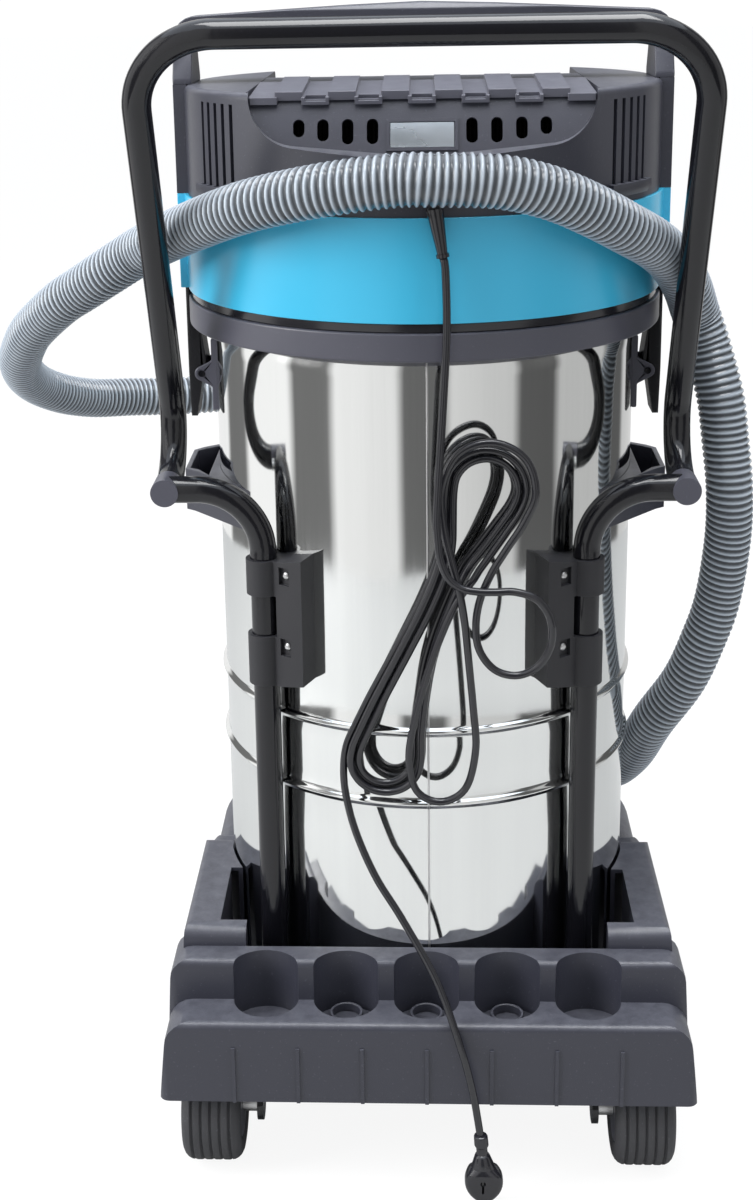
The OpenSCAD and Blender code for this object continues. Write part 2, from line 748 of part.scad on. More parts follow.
module handle_bolts() {
    color(zinc) both_sides() for (x = [6, 18]) translate([bar_half - joint_r - x, tube_y + tube_r, joint_z])
        rotate([-90, 0, 0]) cylinder(r = 4, h = 3.5);
}

// ---------- head ----------

column_in = head_r - 8;

module columns(z0, z1) {
    both_sides() translate([column_in, -column_w / 2, z0]) cube([column_x - column_in, column_w, z1 - z0]);
}

ledge_z = cover_z - 22.5;

module head_lower() {
    flange_r = tank_r - 40;
    pocket = latch_w / 2 + 4;
    color(blue_plastic) difference() {
        union() {
            translate([0, 0, head_z]) cylinder(r = head_r, h = head_h, $fn = 128);
            columns(head_z, cover_z);
        }
        translate([0, 0, head_z + 5]) cylinder(r = head_r - head_wall, h = ledge_z - 4 - head_z - 5, $fn = 128);
        translate([0, 0, head_z - 1]) cylinder(r = flange_r, h = head_h);
        translate([0, 0, ledge_z - 5]) cylinder(r = head_r - 15, h = head_h);
        translate([0, 0, ledge_z]) cylinder(r = head_r - head_wall, h = head_h, $fn = 128);
        both_sides() translate([head_r - 2, -pocket, head_z - 1]) cube([20, 2 * pocket, 18]);
        both_sides() translate([head_r - 7, -pocket, head_z + 6.4]) cube([20, 2 * pocket, 10.6]);
    }
}

module filter_ring() {
    color(black_plastic) ring(tank_r - 15, tank_r - 37, seal_z + 0.5, head_z);
}

module filter_bag() {
    top = seal_z + 0.5;
    depth = 225;
    color(cloth_white) difference() {
        translate([0, 0, top - depth]) cylinder(r1 = tank_r - 65, r2 = tank_r - 31, h = depth, $fn = 96);
        translate([0, 0, top - depth + 4]) cylinder(r1 = tank_r - 69, r2 = tank_r - 35, h = depth, $fn = 96);
    }
}

module motor_plate() {
    color(black_plastic) translate([0, 0, ledge_z]) difference() {
        cylinder(r = head_r - head_wall - 1, h = 4, $fn = 96);
        for (s = [-1, 1]) translate([s * motor_half, 0, -1]) cylinder(r = 25, h = 6);
    }
}

module float_cage() {
    dish = motor_half + 56;
    dish_h = 30;
    cage_r = ball_d / 2 + 12;
    drop = ball_d + 34;
    color(dark_plastic) difference() {
        union() {
            difference() {
                translate([0, 0, ledge_z - dish_h]) cylinder(r = dish, h = dish_h);
                translate([0, 0, ledge_z - dish_h + 3]) cylinder(r = dish - 3, h = dish_h);
            }
            for (a = [0:45:315]) rotate([0, 0, a])
                translate([cage_r, 0, ledge_z - dish_h - drop]) cylinder(r = 3, h = drop + 1);
            translate([0, 0, ledge_z - dish_h - drop - 4]) cylinder(r = cage_r + 6, h = 4);
        }
        translate([0, 0, ledge_z - dish_h - 1]) cylinder(r = ball_d * 0.41, h = 5);
    }
}

ball_z = ledge_z - 30 - 34 - ball_d / 2 + seat_gap;

module float_ball() {
    color(cloth_white) translate([0, 0, ball_z]) sphere(r = ball_d / 2);
}

case_h = 40;
shaft_r = 4;

module fan_housings() {
    case_r = fan_case_d / 2;
    color(black_plastic) for (s = [-1, 1]) translate([s * motor_half, 0, ledge_z + 4]) difference() {
        cylinder(r = case_r, h = case_h);
        translate([0, 0, -1]) cylinder(r = case_r - 4, h = case_h - 3);
        cylinder(r = shaft_r + 6, h = case_h + 1);
        rotate([0, 0, s * 40]) translate([-15, s * case_r - 10, 8]) cube([30, 20, 14]);
    }
}

module motor_bodies() {
    z = ledge_z + 4 + case_h;
    color(zinc) for (s = [-1, 1]) translate([s * motor_half, 0, z]) difference() {
        union() {
            cylinder(r = 46, h = 38);
            cylinder(r = 24, h = 54);
        }
        translate([0, 0, -1]) cylinder(r = shaft_r + run_gap, h = 45);
    }
}

module fan(side) {
    color(steel) translate([side * motor_half, 0, ledge_z + 4]) {
        translate([0, 0, 5]) cylinder(r = fan_case_d / 2 - 8, h = 2);
        translate([0, 0, 5]) cylinder(r = 12, h = 26);
        for (a = [0:40:320]) rotate([0, 0, a]) translate([10, -1, 6]) cube([fan_case_d / 2 - 20, 2, 20]);
        translate([0, 0, 5]) cylinder(r = shaft_r, h = case_h + 35);
    }
}

// ---------- cover ----------

recess_top = top_z - 7;
recess_y = -159;
recess_lean = 24.2;
recess_low = top_z - 54;
recess_half = deck_half - 2;
deck_front = 60;
deck_run = 119;
panel_low_y = 205;
panel_drop = 71;
panel_angle = atan(panel_drop / (panel_low_y - deck_front));

function recess_panel_y(z) = recess_y - tan(recess_lean) * (recess_top - z);
function control_panel_z(y) = top_z - 0.5 - tan(panel_angle) * (y - deck_front);

// the rear recess with its rounded trough and leaning panel, widened by t
module rear_recess(t) {
    corner = 42;
    intersection() {
        along(-cover_r - 40, -100) hull() {
            for (s = [-1, 1]) translate([s * (recess_half - corner), recess_low + corner + 9])
                circle(corner + t, $fn = 48);
            translate([-12, recess_low - t]) square([24, 20]);
            translate([-recess_half - t, recess_low + 60]) square([2 * (recess_half + t), 40]);
        }
        across(deck_half + 20) polygon([
            [recess_panel_y(recess_low - 30) + t / cos(recess_lean), recess_low - 30],
            [recess_panel_y(top_z + 60) + t / cos(recess_lean), top_z + 60],
            [-cover_r - 50, top_z + 60], [-cover_r - 50, recess_low - 30]]);
    }
}

// the cover as a solid, drawn in by t
module cover_form(t) {
    edge = 6 - t / 2;
    low = cover_z - (t > 0 ? 1 : 0);
    difference() {
        rotate_extrude($fn = 128) polygon(concat(
            [[0, low], [cover_r - t, low]],
            arc([cover_r - t - edge, top_z - t - edge], edge, 0, 90, 4), [[0, top_z - t]]));
        across(deck_half + t) polygon([
            [recess_y - 1, recess_top - t], [recess_y - 1 + deck_run, top_z - 1 - t], [deck_front, top_z - 0.5 - t],
            [panel_low_y + 60, control_panel_z(panel_low_y + 60) - t], [panel_low_y + 60, top_z + 60],
            [recess_y - 1, top_z + 60]]);
        rear_recess(t);
    }
}

module on_recess_panel(z) {
    translate([0, recess_panel_y(z), z]) rotate([90 - recess_lean, 0, 0]) children();
}

module on_control_panel(x, s) {
    translate([x, deck_front + s * cos(panel_angle), top_z - 0.5 - s * sin(panel_angle)])
        rotate([-panel_angle, 0, 0]) children();
}

plate_z = recess_top - 30;
plate_half = 28;
plate_h = 23;
vent_w = 10;
vent_top = recess_top - 16;
// distance from the middle and height of each vent of one side
vents = [[43, 23], [64.5, 23], [86, 20], [107, 16]];
grille_az = [for (i = [0:4]) 48 + 3.25 * i];
switch_x = 40;
switch_s = 70;

module head_cover() {
    lip_z = cover_z + 5.5;
    color(black_plastic) difference() {
        union() {
            cover_form(0);
            columns(cover_z, top_z);
            for (s = [-1, 1]) rotate([0, 0, s > 0 ? -44 : -153]) translate([0, 0, lip_z])
                rotate_extrude(angle = 17) translate([cover_r - 2, 0]) polygon([[0, 0], [4, 0], [8, 6], [8, 12], [0, 12]]);
        }
        cover_form(head_wall);
        for (v = vents, s = [-1, 1]) on_recess_panel(vent_top) translate([s * v.x, 0, -20]) linear_extrude(40)
            polygon(concat(arc([0, -vent_w / 2], vent_w / 2, 0, 180, 8),
                arc([0, vent_w / 2 - v.y], vent_w / 2, 180, 360, 8)));
        for (a = grille_az, s = [-1, 1]) rotate([0, 0, s * a]) translate([-2.5, -cover_r - 4, cover_z + 14])
            cube([5, 12, 77]);
        for (s = [-1, 1]) on_control_panel(s * switch_x, switch_s) cube([23, 31, 30], center = true);
    }
    color(black_plastic) on_recess_panel(plate_z) for (s = [-1, 1]) {
        translate([s * (plate_half + 1.5) - 1.5, -plate_h / 2 - 3, -0.5]) cube([3, plate_h + 6, 2]);
        translate([-plate_half - eps, s * (plate_h / 2 + 1.5) - 1.5, -0.5]) cube([2 * (plate_half + eps), 3, 2]);
    }
}

module rating_plate() {
    color(steel) on_recess_panel(plate_z) translate([-plate_half + seat_gap, -plate_h / 2 + seat_gap, 0])
        cube([2 * (plate_half - seat_gap), plate_h - 2 * seat_gap, 0.8]);
}

// strip with raised ribs and lipped slots along the rear edge of the deck
module top_comb() {
    pitch = 46.3;
    rib_w = 24;
    rib_h = 4.5;
    strip = 3;
    half = recess_half - seat_gap;
    rise = atan((top_z - 1 - recess_top) / deck_run);
    color(dark_plastic) translate([0, recess_y - 1, recess_top]) rotate([rise, 0, 0]) difference() {
        union() {
            translate([-half, -2, 0]) cube([2 * half, deck_run, strip]);
            for (i = [-3:2]) translate([(i + 0.5) * pitch - rib_w / 2, -2, 0]) cube([rib_w, deck_run, strip + rib_h]);
            for (i = [-2:2]) translate([i * pitch - rib_w / 2, -5.4, -3.5]) cube([rib_w, 4.2, strip + 3.5]);
            for (s = [-1, 1]) translate([s * (half - 1 - rib_w / 2) - rib_w / 2, -5.4, -3])
                cube([rib_w, 4.2, strip + 3]);
        }
        for (i = [-2:2]) translate([i * pitch - rib_w / 2 + 3, -6, -0.5]) cube([rib_w - 6, 16, 20]);
    }
}

module switch_bezels() {
    color(dark_plastic) for (s = [-1, 1]) on_control_panel(s * switch_x, switch_s) difference() {
        union() {
            translate([-15, -19.5, 0.1]) cube([30, 39, 2.5]);
            translate([-11.3, -15.3, -10]) cube([22.6, 30.6, 11]);
        }
        cube([20, 28.6, 60], center = true);
    }
}

module rocker(side) {
    depth = 5;
    r = 14;
    color("firebrick") on_control_panel(side * switch_x, switch_s) translate([-9.7, 0, -depth]) rotate([-8, 0, 0])
        rotate([90, 0, 90]) linear_extrude(19.4) intersection() {
            circle(r);
            polygon([[-r - 1, -6], [r + 1, -6], [r + 1, depth + 6.5], [0, depth + 2.5], [-r - 1, depth + 6.5]]);
        }
}

module carry_handle() {
    x1 = column_x;
    x0 = column_x - carry_post;
    sag = 9.5;
    z1 = top_z + carry_h;
    under = top_z + carry_h - 30;
    foot = column_w / 2;
    bar = carry_bar_depth / 2;
    color(black_plastic) intersection() {
        along(-foot, foot) difference() {
            polygon(concat(
                [[-x1, top_z]], arc([-x1 + 22, z1 - sag - 22], 22, 180, 100),
                [[-70, z1 - 2.4], [0, z1], [70, z1 - 2.4]],
                arc([x1 - 22, z1 - sag - 22], 22, 80, 0), [[x1, top_z]]));
            polygon(concat(
                [[-x0, top_z - 1]], arc([-x0 + 10, under - 10], 10, 180, 90), arc([x0 - 10, under - 10], 10, 90, 0),
                [[x0, top_z - 1]]));
        }
        across(x1 + 5) polygon([
            [-foot, top_z - 1], [-foot, top_z + 6], [-bar, under - 12], [-bar, z1 - 6], [-bar + 6, z1 + 1],
            [bar - 6, z1 + 1], [bar, z1 - 6], [bar, under - 12], [foot, top_z + 6], [foot, top_z - 1]]);
    }
}

// ---------- cord and hose ----------

gland_x = 10;
gland_y = -238;
gland_end = [17, gland_y, 893];

module strain_relief() {
    top = [gland_x, gland_y, cover_z + 9.5];
    way = unit(gland_end - top);
    color(rubber_black) {
        difference() {
            translate([gland_x, gland_y - 5, cover_z + 7]) rotate([-90, 0, 0]) cylinder(r = 6.5, h = 20);
            translate([0, 0, cover_z - 10]) cylinder(r = cover_r, h = 40, $fn = 128);
        }
        rod(top, gland_end - way * 3, 7.5, cord_d / 2 + 1);
        rod(gland_end - way * 3, gland_end, cord_d / 2 + 2.2, cord_d / 2 + 2.2);
    }
}

front_layer = -231.3;
mid_layer = -222.5;
back_layer = -213.7;
// from the gland down, round a small loose loop and once round in front of the hank
lead_route = [gland_end, [19, -238, 881], [20, -239, 831], [17, -240, 768], [13, -241, 704], [11, -243, 664],
    [12, -245, 644], [14, -246.5, 627], [21, -248, 610], [33, -248, 600.5], [48, -248, 597.5], [64, -247.5, 597],
    [79.5, -247, 597], [99, -246, 589.6], [111.4, -244.5, 570], [112.3, -243, 545.4], [101.4, -241.5, 524.6],
    [82.5, -240.5, 515.2], [62.5, -240, 520.5], [49, -239.5, 538.7], [45.6, -238.5, 561], [49, -237, 585],
    [59, -234, 609], [73, -231.8, 632], [88, front_layer, 656], [98, front_layer, 683], [89, front_layer, 714],
    [61, front_layer, 729], [31, front_layer, 720], [16, front_layer, 690], [17, -232.5, 654], [24, -237, 622],
    [31, -239.5, 594], [36, -237, 562], [40, -233, 520], [44, front_layer, 476], [46, front_layer, 438],
    [37, front_layer, 400], [14.5, front_layer, 386], [-8, front_layer, 397], [-15, front_layer, 430],
    [-9, front_layer, 470], [1, front_layer, 508], [13, front_layer, 545], [28, -231, 580]];
// the outermost loop of the hank, as [X, Z], from its waist upwards
hank_loop = concat([[44, 603], [58, 623], [73, 644]], arc([54, 684], 38, -30, 180, 7),
    [[15, 655], [14, 632], [8, 607], [-6, 573], [-24, 537], [-42, 502], [-53, 480], [-64.5, 455]],
    arc([-36, 424], 38.5, 157, 360, 7), [[3, 446], [6, 478], [13, 520], [27, 564]]);
// how far the innermost turn lies inside that loop
hank_spread = 14;
hank_turns = 3.58;
// sections of the cord: for each turn of the hank, for the lead and for the tail
loop_rings = 44;
lead_rings = 112;
tail_rings = 30;
tail_mid = [[-73, -214, 435], [-76, -215.5, 410], [-73.5, -219, 383], [-64, -228, 350], [-46, -240, 312],
    [-22, -252, 276], [10, -271, 222], [32, -285, 160], [42, -289, 121], [47, -290, 91]];
tail_end = [50, -291, 70];

// point on a closed smooth loop at fraction t, as [X, Z]
function loop_point(p, t) = let (n = len(p), s = (t - floor(t)) * n, i = floor(s))
    span(p[(i + n - 1) % n], p[i % n], p[(i + 1) % n], p[(i + 2) % n], s - i);
// the hank's centreline after u turns: it spirals in on the middle layer and out on the back layer
function hank_point(u) = let (
    half = hank_turns / 2, inward = hank_spread * (1 - abs(u - half) / half), c = loop_point(hank_loop, u),
    way = unit(loop_point(hank_loop, u + 0.004) - loop_point(hank_loop, u - 0.004)),
    climb = min(1, max(0, (u - half + 0.25) * 2)), start = pow(max(0, 1 - u / 0.14), 2),
    y = mid_layer + (back_layer - mid_layer) * climb + (front_layer + 0.8 - mid_layer) * start)
    [c.x - way.y * inward, y, c.y + way.x * inward];
hank_line = [for (i = [0:hank_turns * loop_rings]) hank_point(i / loop_rings)];
hank_first = hank_line[1] - hank_line[0];
hank_last = hank_line[len(hank_line) - 1] - hank_line[len(hank_line) - 2];
lead_line = even(smooth(concat(lead_route, [hank_line[0]]), 8), lead_rings);
tail_line = even(smooth(concat([hank_line[len(hank_line) - 1]], tail_mid, [tail_end]), 8), tail_rings);
tail_last = tail_end - tail_mid[len(tail_mid) - 1];

// least gap between two stretches of the cord that aren't neighbours, measured on points
cord_dense = even(concat(smooth(lead_route, 8), [for (i = [0:hank_turns * 80]) hank_point(i / 80)]), 560);
cord_gap = min([for (i = [0:2:544], j = [i + 8:560]) norm(cord_dense[i] - cord_dense[j])]) - cord_d;
echo(cord_least_gap = cord_gap, hank_length = route_length(hank_line), lead_length = route_length(lead_line),
    tail_length = route_length(tail_line));

module cord_lead() {
    color(rubber_black) swept(lead_line, gland_end - [gland_x, gland_y, cover_z + 9.5], hank_first, cord_d / 2, 6);
}

module cord_hank() {
    color(rubber_black) swept(hank_line, hank_first, hank_last, cord_d / 2, 6);
}

module cord_tail() {
    color(rubber_black) swept(tail_line, hank_last, tail_last, cord_d / 2, 8);
}

module plug() {
    body_r = 18;
    centre = [53, -296, 28];
    way = unit(tail_last);
    neck = tail_end + way * 22;
    color(rubber_black) {
        rod(tail_end, tail_end + way * 4, cord_d / 2 + 2.5, cord_d / 2 + 2.5);
        rod(tail_end + way * 4, neck + way * 4, cord_d / 2 + 1.2, 8);
        translate(centre) rotate([90, 0, 0]) translate([0, 0, -11]) cylinder(r = body_r, h = 22);
        translate(centre + [0, 11, 0]) rotate([-90, 0, 0]) cylinder(r = body_r - 2, h = 2);
        hull() {
            translate(neck + [0, 0, 2]) sphere(7, $fn = 16);
            translate(centre) rotate([90, 0, 0]) translate([0, 0, -9]) cylinder(r = body_r - 2, h = 18, $fn = 24);
        }
    }
    color(steel) for (s = [-1, 1]) translate(centre + [s * 9.5, 12, 0]) rotate([-90, 0, 0]) cylinder(r = 2.4, h = 20);
}

hose_r = hose_d / 2;
hose_route = [[0, port_end + 70, port_z], [0, 343, port_z], [0, 366, port_z], [-22, 408, 665], [-70, 436, 655],
    [-130, 438, 643], [-190, 424, 633], [-245, 400, 626], [-290, 385, 626], [-325, 368, 629], [-355, 350, 633],
    [-386, 320, 639], [-404, 290, 648], [-420, 255, 661], [-435, 215, 680], [-439, 170, 703], [-434, 130, 727],
    [-419, 90, 753], [-400, 55, 777], [-361, 5, 812], [-333, -20, 831], [-305, -45, 850], [-262, -80, 878],
    [-214, -142, 905], [-158, -200, 931], [-107, -232, 946], [-61, -248, 955], [-20, -254, 960], [9, -255, 960],
    [64, -248, 957], [108, -232, 945], [145, -210, 927], [178, -182, 907], [206, -148, 888], [228, -112, 866],
    [246, -75, 838], [258, -50, 810], [268, -45, 785], [277, -47, 757], [286, -50, 723], [292, -50, 682],
    [298, -50, 632], [300, -40, 577], [295, -25, 509], [284, -15, 462], [268, 0, 411], [242, 30, 353],
    [226, 90, 285], [205, 150, 240], [165, 225, 220], [115, 298, 205], [60, 340, 130], [10, 358, 62],
    [-50, 368, 32], [-96, 369, 26], [-136, 358, 26], [-180, 345, 26]];
hose_line = even(smooth(hose_route, 6), 2 * hose_ribs);
hose_last = [-44, -13, 0];
echo(hose_length = route_length(hose_line), hank_end = hank_line[len(hank_line) - 1], hank_way = hank_last);

module hose() {
    color(hose_grey) ribbed(hose_line, [0, 1, 0], hose_last, hose_r, hose_r - 2.4, hose_bore / 2, 8);
}

module hose_cuff_inlet() {
    y0 = tank_r + 10 + seat_gap;
    y1 = port_end + 70;
    color(black_plastic) translate([0, 0, port_z]) rotate([-90, 0, 0]) difference() {
        union() {
            translate([0, 0, y0]) cylinder(r = port_d / 2 + 5, h = 58);
            translate([0, 0, y0]) cylinder(r = hose_r + 2, h = y1 - y0);
        }
        translate([0, 0, y0 - 1]) cylinder(r = port_d / 2 + run_gap, h = port_end - y0 + 2);
        translate([0, 0, y0]) cylinder(r = hose_bore / 2, h = 200);
    }
}

module hose_cuff_end() {
    start = hose_route[len(hose_route) - 1];
    way = unit(hose_last);
    side = any_normal(way);
    color(black_plastic) multmatrix(placing(start, side, cross(way, side), way)) difference() {
        union() {
            cylinder(r = hose_r + 2, h = 30);
            translate([0, 0, 30]) cylinder(r1 = hose_r + 2, r2 = hose_r - 1, h = 50);
        }
        translate([0, 0, -1]) cylinder(r = hose_bore / 2, h = 82);
    }
}

trolley_base();
bay_spigots();
tube_sockets();
rear_brackets();
rear_axles();
rear_hub(-1);  // rear_hub_left
rear_tyre(-1);  // rear_tyre_left
rear_hub(1);  // rear_hub_right
rear_tyre(1);  // rear_tyre_right
castor_plates();
castor_fork(-1);  // castor_fork_left
castor_axle(-1);  // castor_axle_left
castor_hub(-1);  // castor_hub_left
castor_tyre(-1);  // castor_tyre_left
castor_fork(1);  // castor_fork_right
castor_axle(1);  // castor_axle_right
castor_hub(1);  // castor_hub_right
castor_tyre(1);  // castor_tyre_right
tank_drum();
inlet_port();
tank_collar();
head_seal();
side_grips();
latch_brackets();
latch_pins();
latch_lever(-1);  // latch_lever_left
latch_lever(1);  // latch_lever_right
frame_tube(-1);  // frame_tube_left
frame_tube(1);  // frame_tube_right
tank_clamps();
clamp_screws();
push_handle();
handle_joints();
handle_bolts();
head_lower();
filter_ring();
filter_bag();
motor_plate();
float_cage();
float_ball();
fan_housings();
motor_bodies();
fan(-1);  // fan_left
fan(1);  // fan_right
head_cover();
top_comb();
rating_plate();
switch_bezels();
rocker(-1);  // switch_left
rocker(1);  // switch_right
carry_handle();
strain_relief();
cord_lead();
cord_hank();
cord_tail();
plug();
hose();
hose_cuff_inlet();
hose_cuff_end();
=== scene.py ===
"""Dresses a twin motor wet and dry vacuum cleaner: finishes, hose, cord, trim and studio.

Everything is in metres. +Z is up, -Y is the side with the accessory shelf, +X is right seen from there.
"""

import json
import math

import bpy
from mathutils import Matrix, Vector

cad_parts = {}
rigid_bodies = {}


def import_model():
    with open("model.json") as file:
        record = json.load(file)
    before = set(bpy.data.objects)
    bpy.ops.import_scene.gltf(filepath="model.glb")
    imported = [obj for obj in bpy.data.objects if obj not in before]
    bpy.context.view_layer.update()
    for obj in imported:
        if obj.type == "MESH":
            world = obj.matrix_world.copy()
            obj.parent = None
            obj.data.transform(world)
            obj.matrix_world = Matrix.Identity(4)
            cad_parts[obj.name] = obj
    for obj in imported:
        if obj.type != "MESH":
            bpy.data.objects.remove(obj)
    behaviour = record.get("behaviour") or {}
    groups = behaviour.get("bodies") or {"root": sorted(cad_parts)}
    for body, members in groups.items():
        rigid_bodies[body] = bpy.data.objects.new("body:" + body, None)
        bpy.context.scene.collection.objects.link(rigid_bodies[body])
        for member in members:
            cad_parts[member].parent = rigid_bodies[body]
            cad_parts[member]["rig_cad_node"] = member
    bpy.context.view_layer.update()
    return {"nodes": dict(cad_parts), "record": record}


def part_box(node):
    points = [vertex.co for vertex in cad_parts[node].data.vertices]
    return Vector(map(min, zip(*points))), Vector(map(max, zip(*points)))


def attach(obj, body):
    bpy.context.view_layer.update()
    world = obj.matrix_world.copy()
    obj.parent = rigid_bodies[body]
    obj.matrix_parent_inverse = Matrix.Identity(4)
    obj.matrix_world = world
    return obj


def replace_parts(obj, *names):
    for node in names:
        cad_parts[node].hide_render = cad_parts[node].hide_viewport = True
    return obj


bl_info = {
    "name": "Tank vacuum cleaner",
    "version": (1, 0, 0),
    "blender": (4, 5, 0),
    "location": "3D View > Sidebar > Vacuum",
    "description": "Finishes, hose, cord, trim and studio for a tank vacuum cleaner",
    "category": "Object",
}

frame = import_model()
MM = 0.001
MAIN = "cleaner"


# ---------- settings that a user would change ----------


class FinishSettings(bpy.types.PropertyGroup):
    """Colours and surface depths."""

    blue: bpy.props.FloatVectorProperty(
        name="Head blue", description="Colour of the lower head", subtype="COLOR",
        size=3, min=0, max=1, default=(0.034, 0.385, 0.600))
    black: bpy.props.FloatVectorProperty(
        name="Black moulding", description="Colour of the black mouldings", subtype="COLOR",
        size=3, min=0, max=1, default=(0.029, 0.030, 0.042))
    grey: bpy.props.FloatVectorProperty(
        name="Grey moulding", description="Colour of the collar and the small mouldings", subtype="COLOR",
        size=3, min=0, max=1, default=(0.056, 0.056, 0.074))
    hose: bpy.props.FloatVectorProperty(
        name="Hose grey", description="Colour of the hose on its ribs", subtype="COLOR",
        size=3, min=0, max=1, default=(0.41, 0.46, 0.52))
    steel: bpy.props.FloatVectorProperty(
        name="Tank steel", description="Colour of the polished tank", subtype="COLOR",
        size=3, min=0, max=1, default=(0.86, 0.87, 0.86))
    grain: bpy.props.FloatProperty(
        name="Moulding grain", description="Depth of the grain in the mouldings",
        unit="LENGTH", min=0, max=0.001, default=0.00012)
    # how much upward faces are lightened: partly dusting, partly painted sheen
    dust_and_sheen: bpy.props.FloatProperty(
        name="Dust", description="How much dust lies on upward faces", min=0, max=1, default=0.30)


class DetailSettings(bpy.types.PropertyGroup):
    """Sizes of the details."""

    edge: bpy.props.FloatProperty(
        name="Edge rounding", description="Radius on the edges of the mouldings",
        unit="LENGTH", min=0, max=0.005, default=0.0012)
    hose_pitch: bpy.props.FloatProperty(
        name="Hose pitch", description="Distance from one rib of the hose to the next",
        unit="LENGTH", min=0.003, max=0.02, default=0.0069)
    hose_depth: bpy.props.FloatProperty(
        name="Hose rib depth", description="Height of the hose's ribs above its grooves",
        unit="LENGTH", min=0.0005, max=0.004, default=0.0022)
    cord_step: bpy.props.FloatProperty(
        name="Cord step", description="Distance between two rings of the cord",
        unit="LENGTH", min=0.002, max=0.02, default=0.004)


class StudioSettings(bpy.types.PropertyGroup):
    """Light and floor."""

    key: bpy.props.FloatProperty(
        name="Key light", description="Power of the large light on the left",
        unit="POWER", min=0, max=2000, default=125)
    fill: bpy.props.FloatProperty(
        name="Fill light", description="Power of the light on the right",
        unit="POWER", min=0, max=2000, default=20)
    top: bpy.props.FloatProperty(
        name="Top light", description="Power of the light overhead",
        unit="POWER", min=0, max=2000, default=80)
    sky: bpy.props.FloatProperty(
        name="Room light", description="Strength of the even light all round", min=0, max=5, default=0.8)


# ---------- routes of the hose and the cord, in millimetres ----------

HOSE_R = 23
HOSE_BORE_R = 18
# from the inlet port round the machine to the loose end
HOSE_ROUTE = [
    (0, 320, 670), (0, 343, 670), (0, 366, 670), (-22, 408, 665), (-70, 436, 655), (-130, 438, 643),
    (-190, 424, 633), (-245, 400, 626), (-290, 385, 626), (-325, 368, 629), (-355, 350, 633),
    (-386, 320, 639), (-404, 290, 648), (-420, 255, 661), (-435, 215, 680), (-439, 170, 703),
    (-434, 130, 727), (-419, 90, 753), (-400, 55, 777), (-361, 5, 812), (-333, -20, 831),
    (-305, -45, 850), (-262, -80, 878), (-214, -142, 905), (-158, -200, 931), (-107, -232, 946),
    (-61, -248, 955), (-20, -254, 960), (9, -255, 960), (64, -248, 957), (108, -232, 945),
    (145, -210, 927), (178, -182, 907), (206, -148, 888), (228, -112, 866), (246, -75, 838),
    (258, -50, 810), (268, -45, 785), (277, -47, 757), (286, -50, 723), (292, -50, 682),
    (298, -50, 632), (300, -40, 577), (295, -25, 509), (284, -15, 462), (268, 0, 411), (242, 30, 353),
    (226, 90, 285), (205, 150, 240), (165, 225, 220), (115, 298, 205), (60, 340, 130), (10, 358, 62),
    (-50, 368, 32), (-96, 369, 26), (-136, 358, 26), (-180, 345, 26),
]
CORD_R = 3.5
GLAND_END = (17, -238, 893)
FRONT_LAYER = -231.3
MID_LAYER = -222.5
BACK_LAYER = -213.7
# from the gland down, round a small loose loop and once round in front of the hank
LEAD_ROUTE = [
    GLAND_END, (19, -238, 881), (20, -239, 831), (17, -240, 768), (13, -241, 704), (11, -243, 664),
    (12, -245, 644), (14, -246.5, 627), (21, -248, 610), (33, -248, 600.5), (48, -248, 597.5),
    (64, -247.5, 597), (79.5, -247, 597), (99, -246, 589.6), (111.4, -244.5, 570), (112.3, -243, 545.4),
    (101.4, -241.5, 524.6), (82.5, -240.5, 515.2), (62.5, -240, 520.5), (49, -239.5, 538.7),
    (45.6, -238.5, 561), (49, -237, 585), (59, -234, 609), (73, -231.8, 632), (88, FRONT_LAYER, 656),
    (98, FRONT_LAYER, 683), (89, FRONT_LAYER, 714), (61, FRONT_LAYER, 729), (31, FRONT_LAYER, 720),
    (16, FRONT_LAYER, 690), (17, -232.5, 654), (24, -237, 622), (31, -239.5, 594), (36, -237, 562),
    (40, -233, 520), (44, FRONT_LAYER, 476), (46, FRONT_LAYER, 438), (37, FRONT_LAYER, 400),
    (14.5, FRONT_LAYER, 386), (-8, FRONT_LAYER, 397), (-15, FRONT_LAYER, 430), (-9, FRONT_LAYER, 470),
    (1, FRONT_LAYER, 508), (13, FRONT_LAYER, 545), (28, -231, 580),
]


def bow(x, z, r, first, last, steps):
    """Points (X, Z) on an arc, with angles in degrees."""
    angles = [math.radians(first + (last - first) * k / steps) for k in range(steps + 1)]
    return [(x + r * math.cos(a), z + r * math.sin(a)) for a in angles]


# the outermost loop of the hank, as (X, Z), from its waist upwards
HANK_LOOP = [
    (44, 603), (58, 623), (73, 644), *bow(54, 684, 38, -30, 180, 7), (15, 655), (14, 632), (8, 607), (-6, 573),
    (-24, 537), (-42, 502), (-53, 480), (-64.5, 455), *bow(-36, 424, 38.5, 157, 360, 7), (3, 446), (6, 478),
    (13, 520), (27, 564),
]
# how far the innermost loop lies inside the outermost one
HANK_SPREAD = 14
HANK_TURNS = 3.58
# turns over which the cord sinks from the front layer at the start, and climbs to the back layer halfway
SINK_TURNS = 0.14
CLIMB_TURNS = 0.5
HANK_START = FRONT_LAYER + 0.8
# curve points to each span of a route, and to each turn of the hank
ROUTE_STEPS = 10
TURN_STEPS = 90
# from the hank down to the plug
TAIL_ROUTE = [
    (-73, -214, 435), (-76, -215.5, 410), (-73.5, -219, 383), (-64, -228, 350), (-46, -240, 312),
    (-22, -252, 276), (10, -271, 222), (32, -285, 160), (42, -289, 121), (47, -290, 91), (50, -291, 70),
]


def spline_point(p0, p1, p2, p3, t):
    """Point at t between p1 and p2 on a smooth curve through them."""
    return 0.5 * (2 * p1 + (p2 - p0) * t + (2 * p0 - 5 * p1 + 4 * p2 - p3) * t * t
                  + (3 * p1 - p0 - 3 * p2 + p3) * t ** 3)


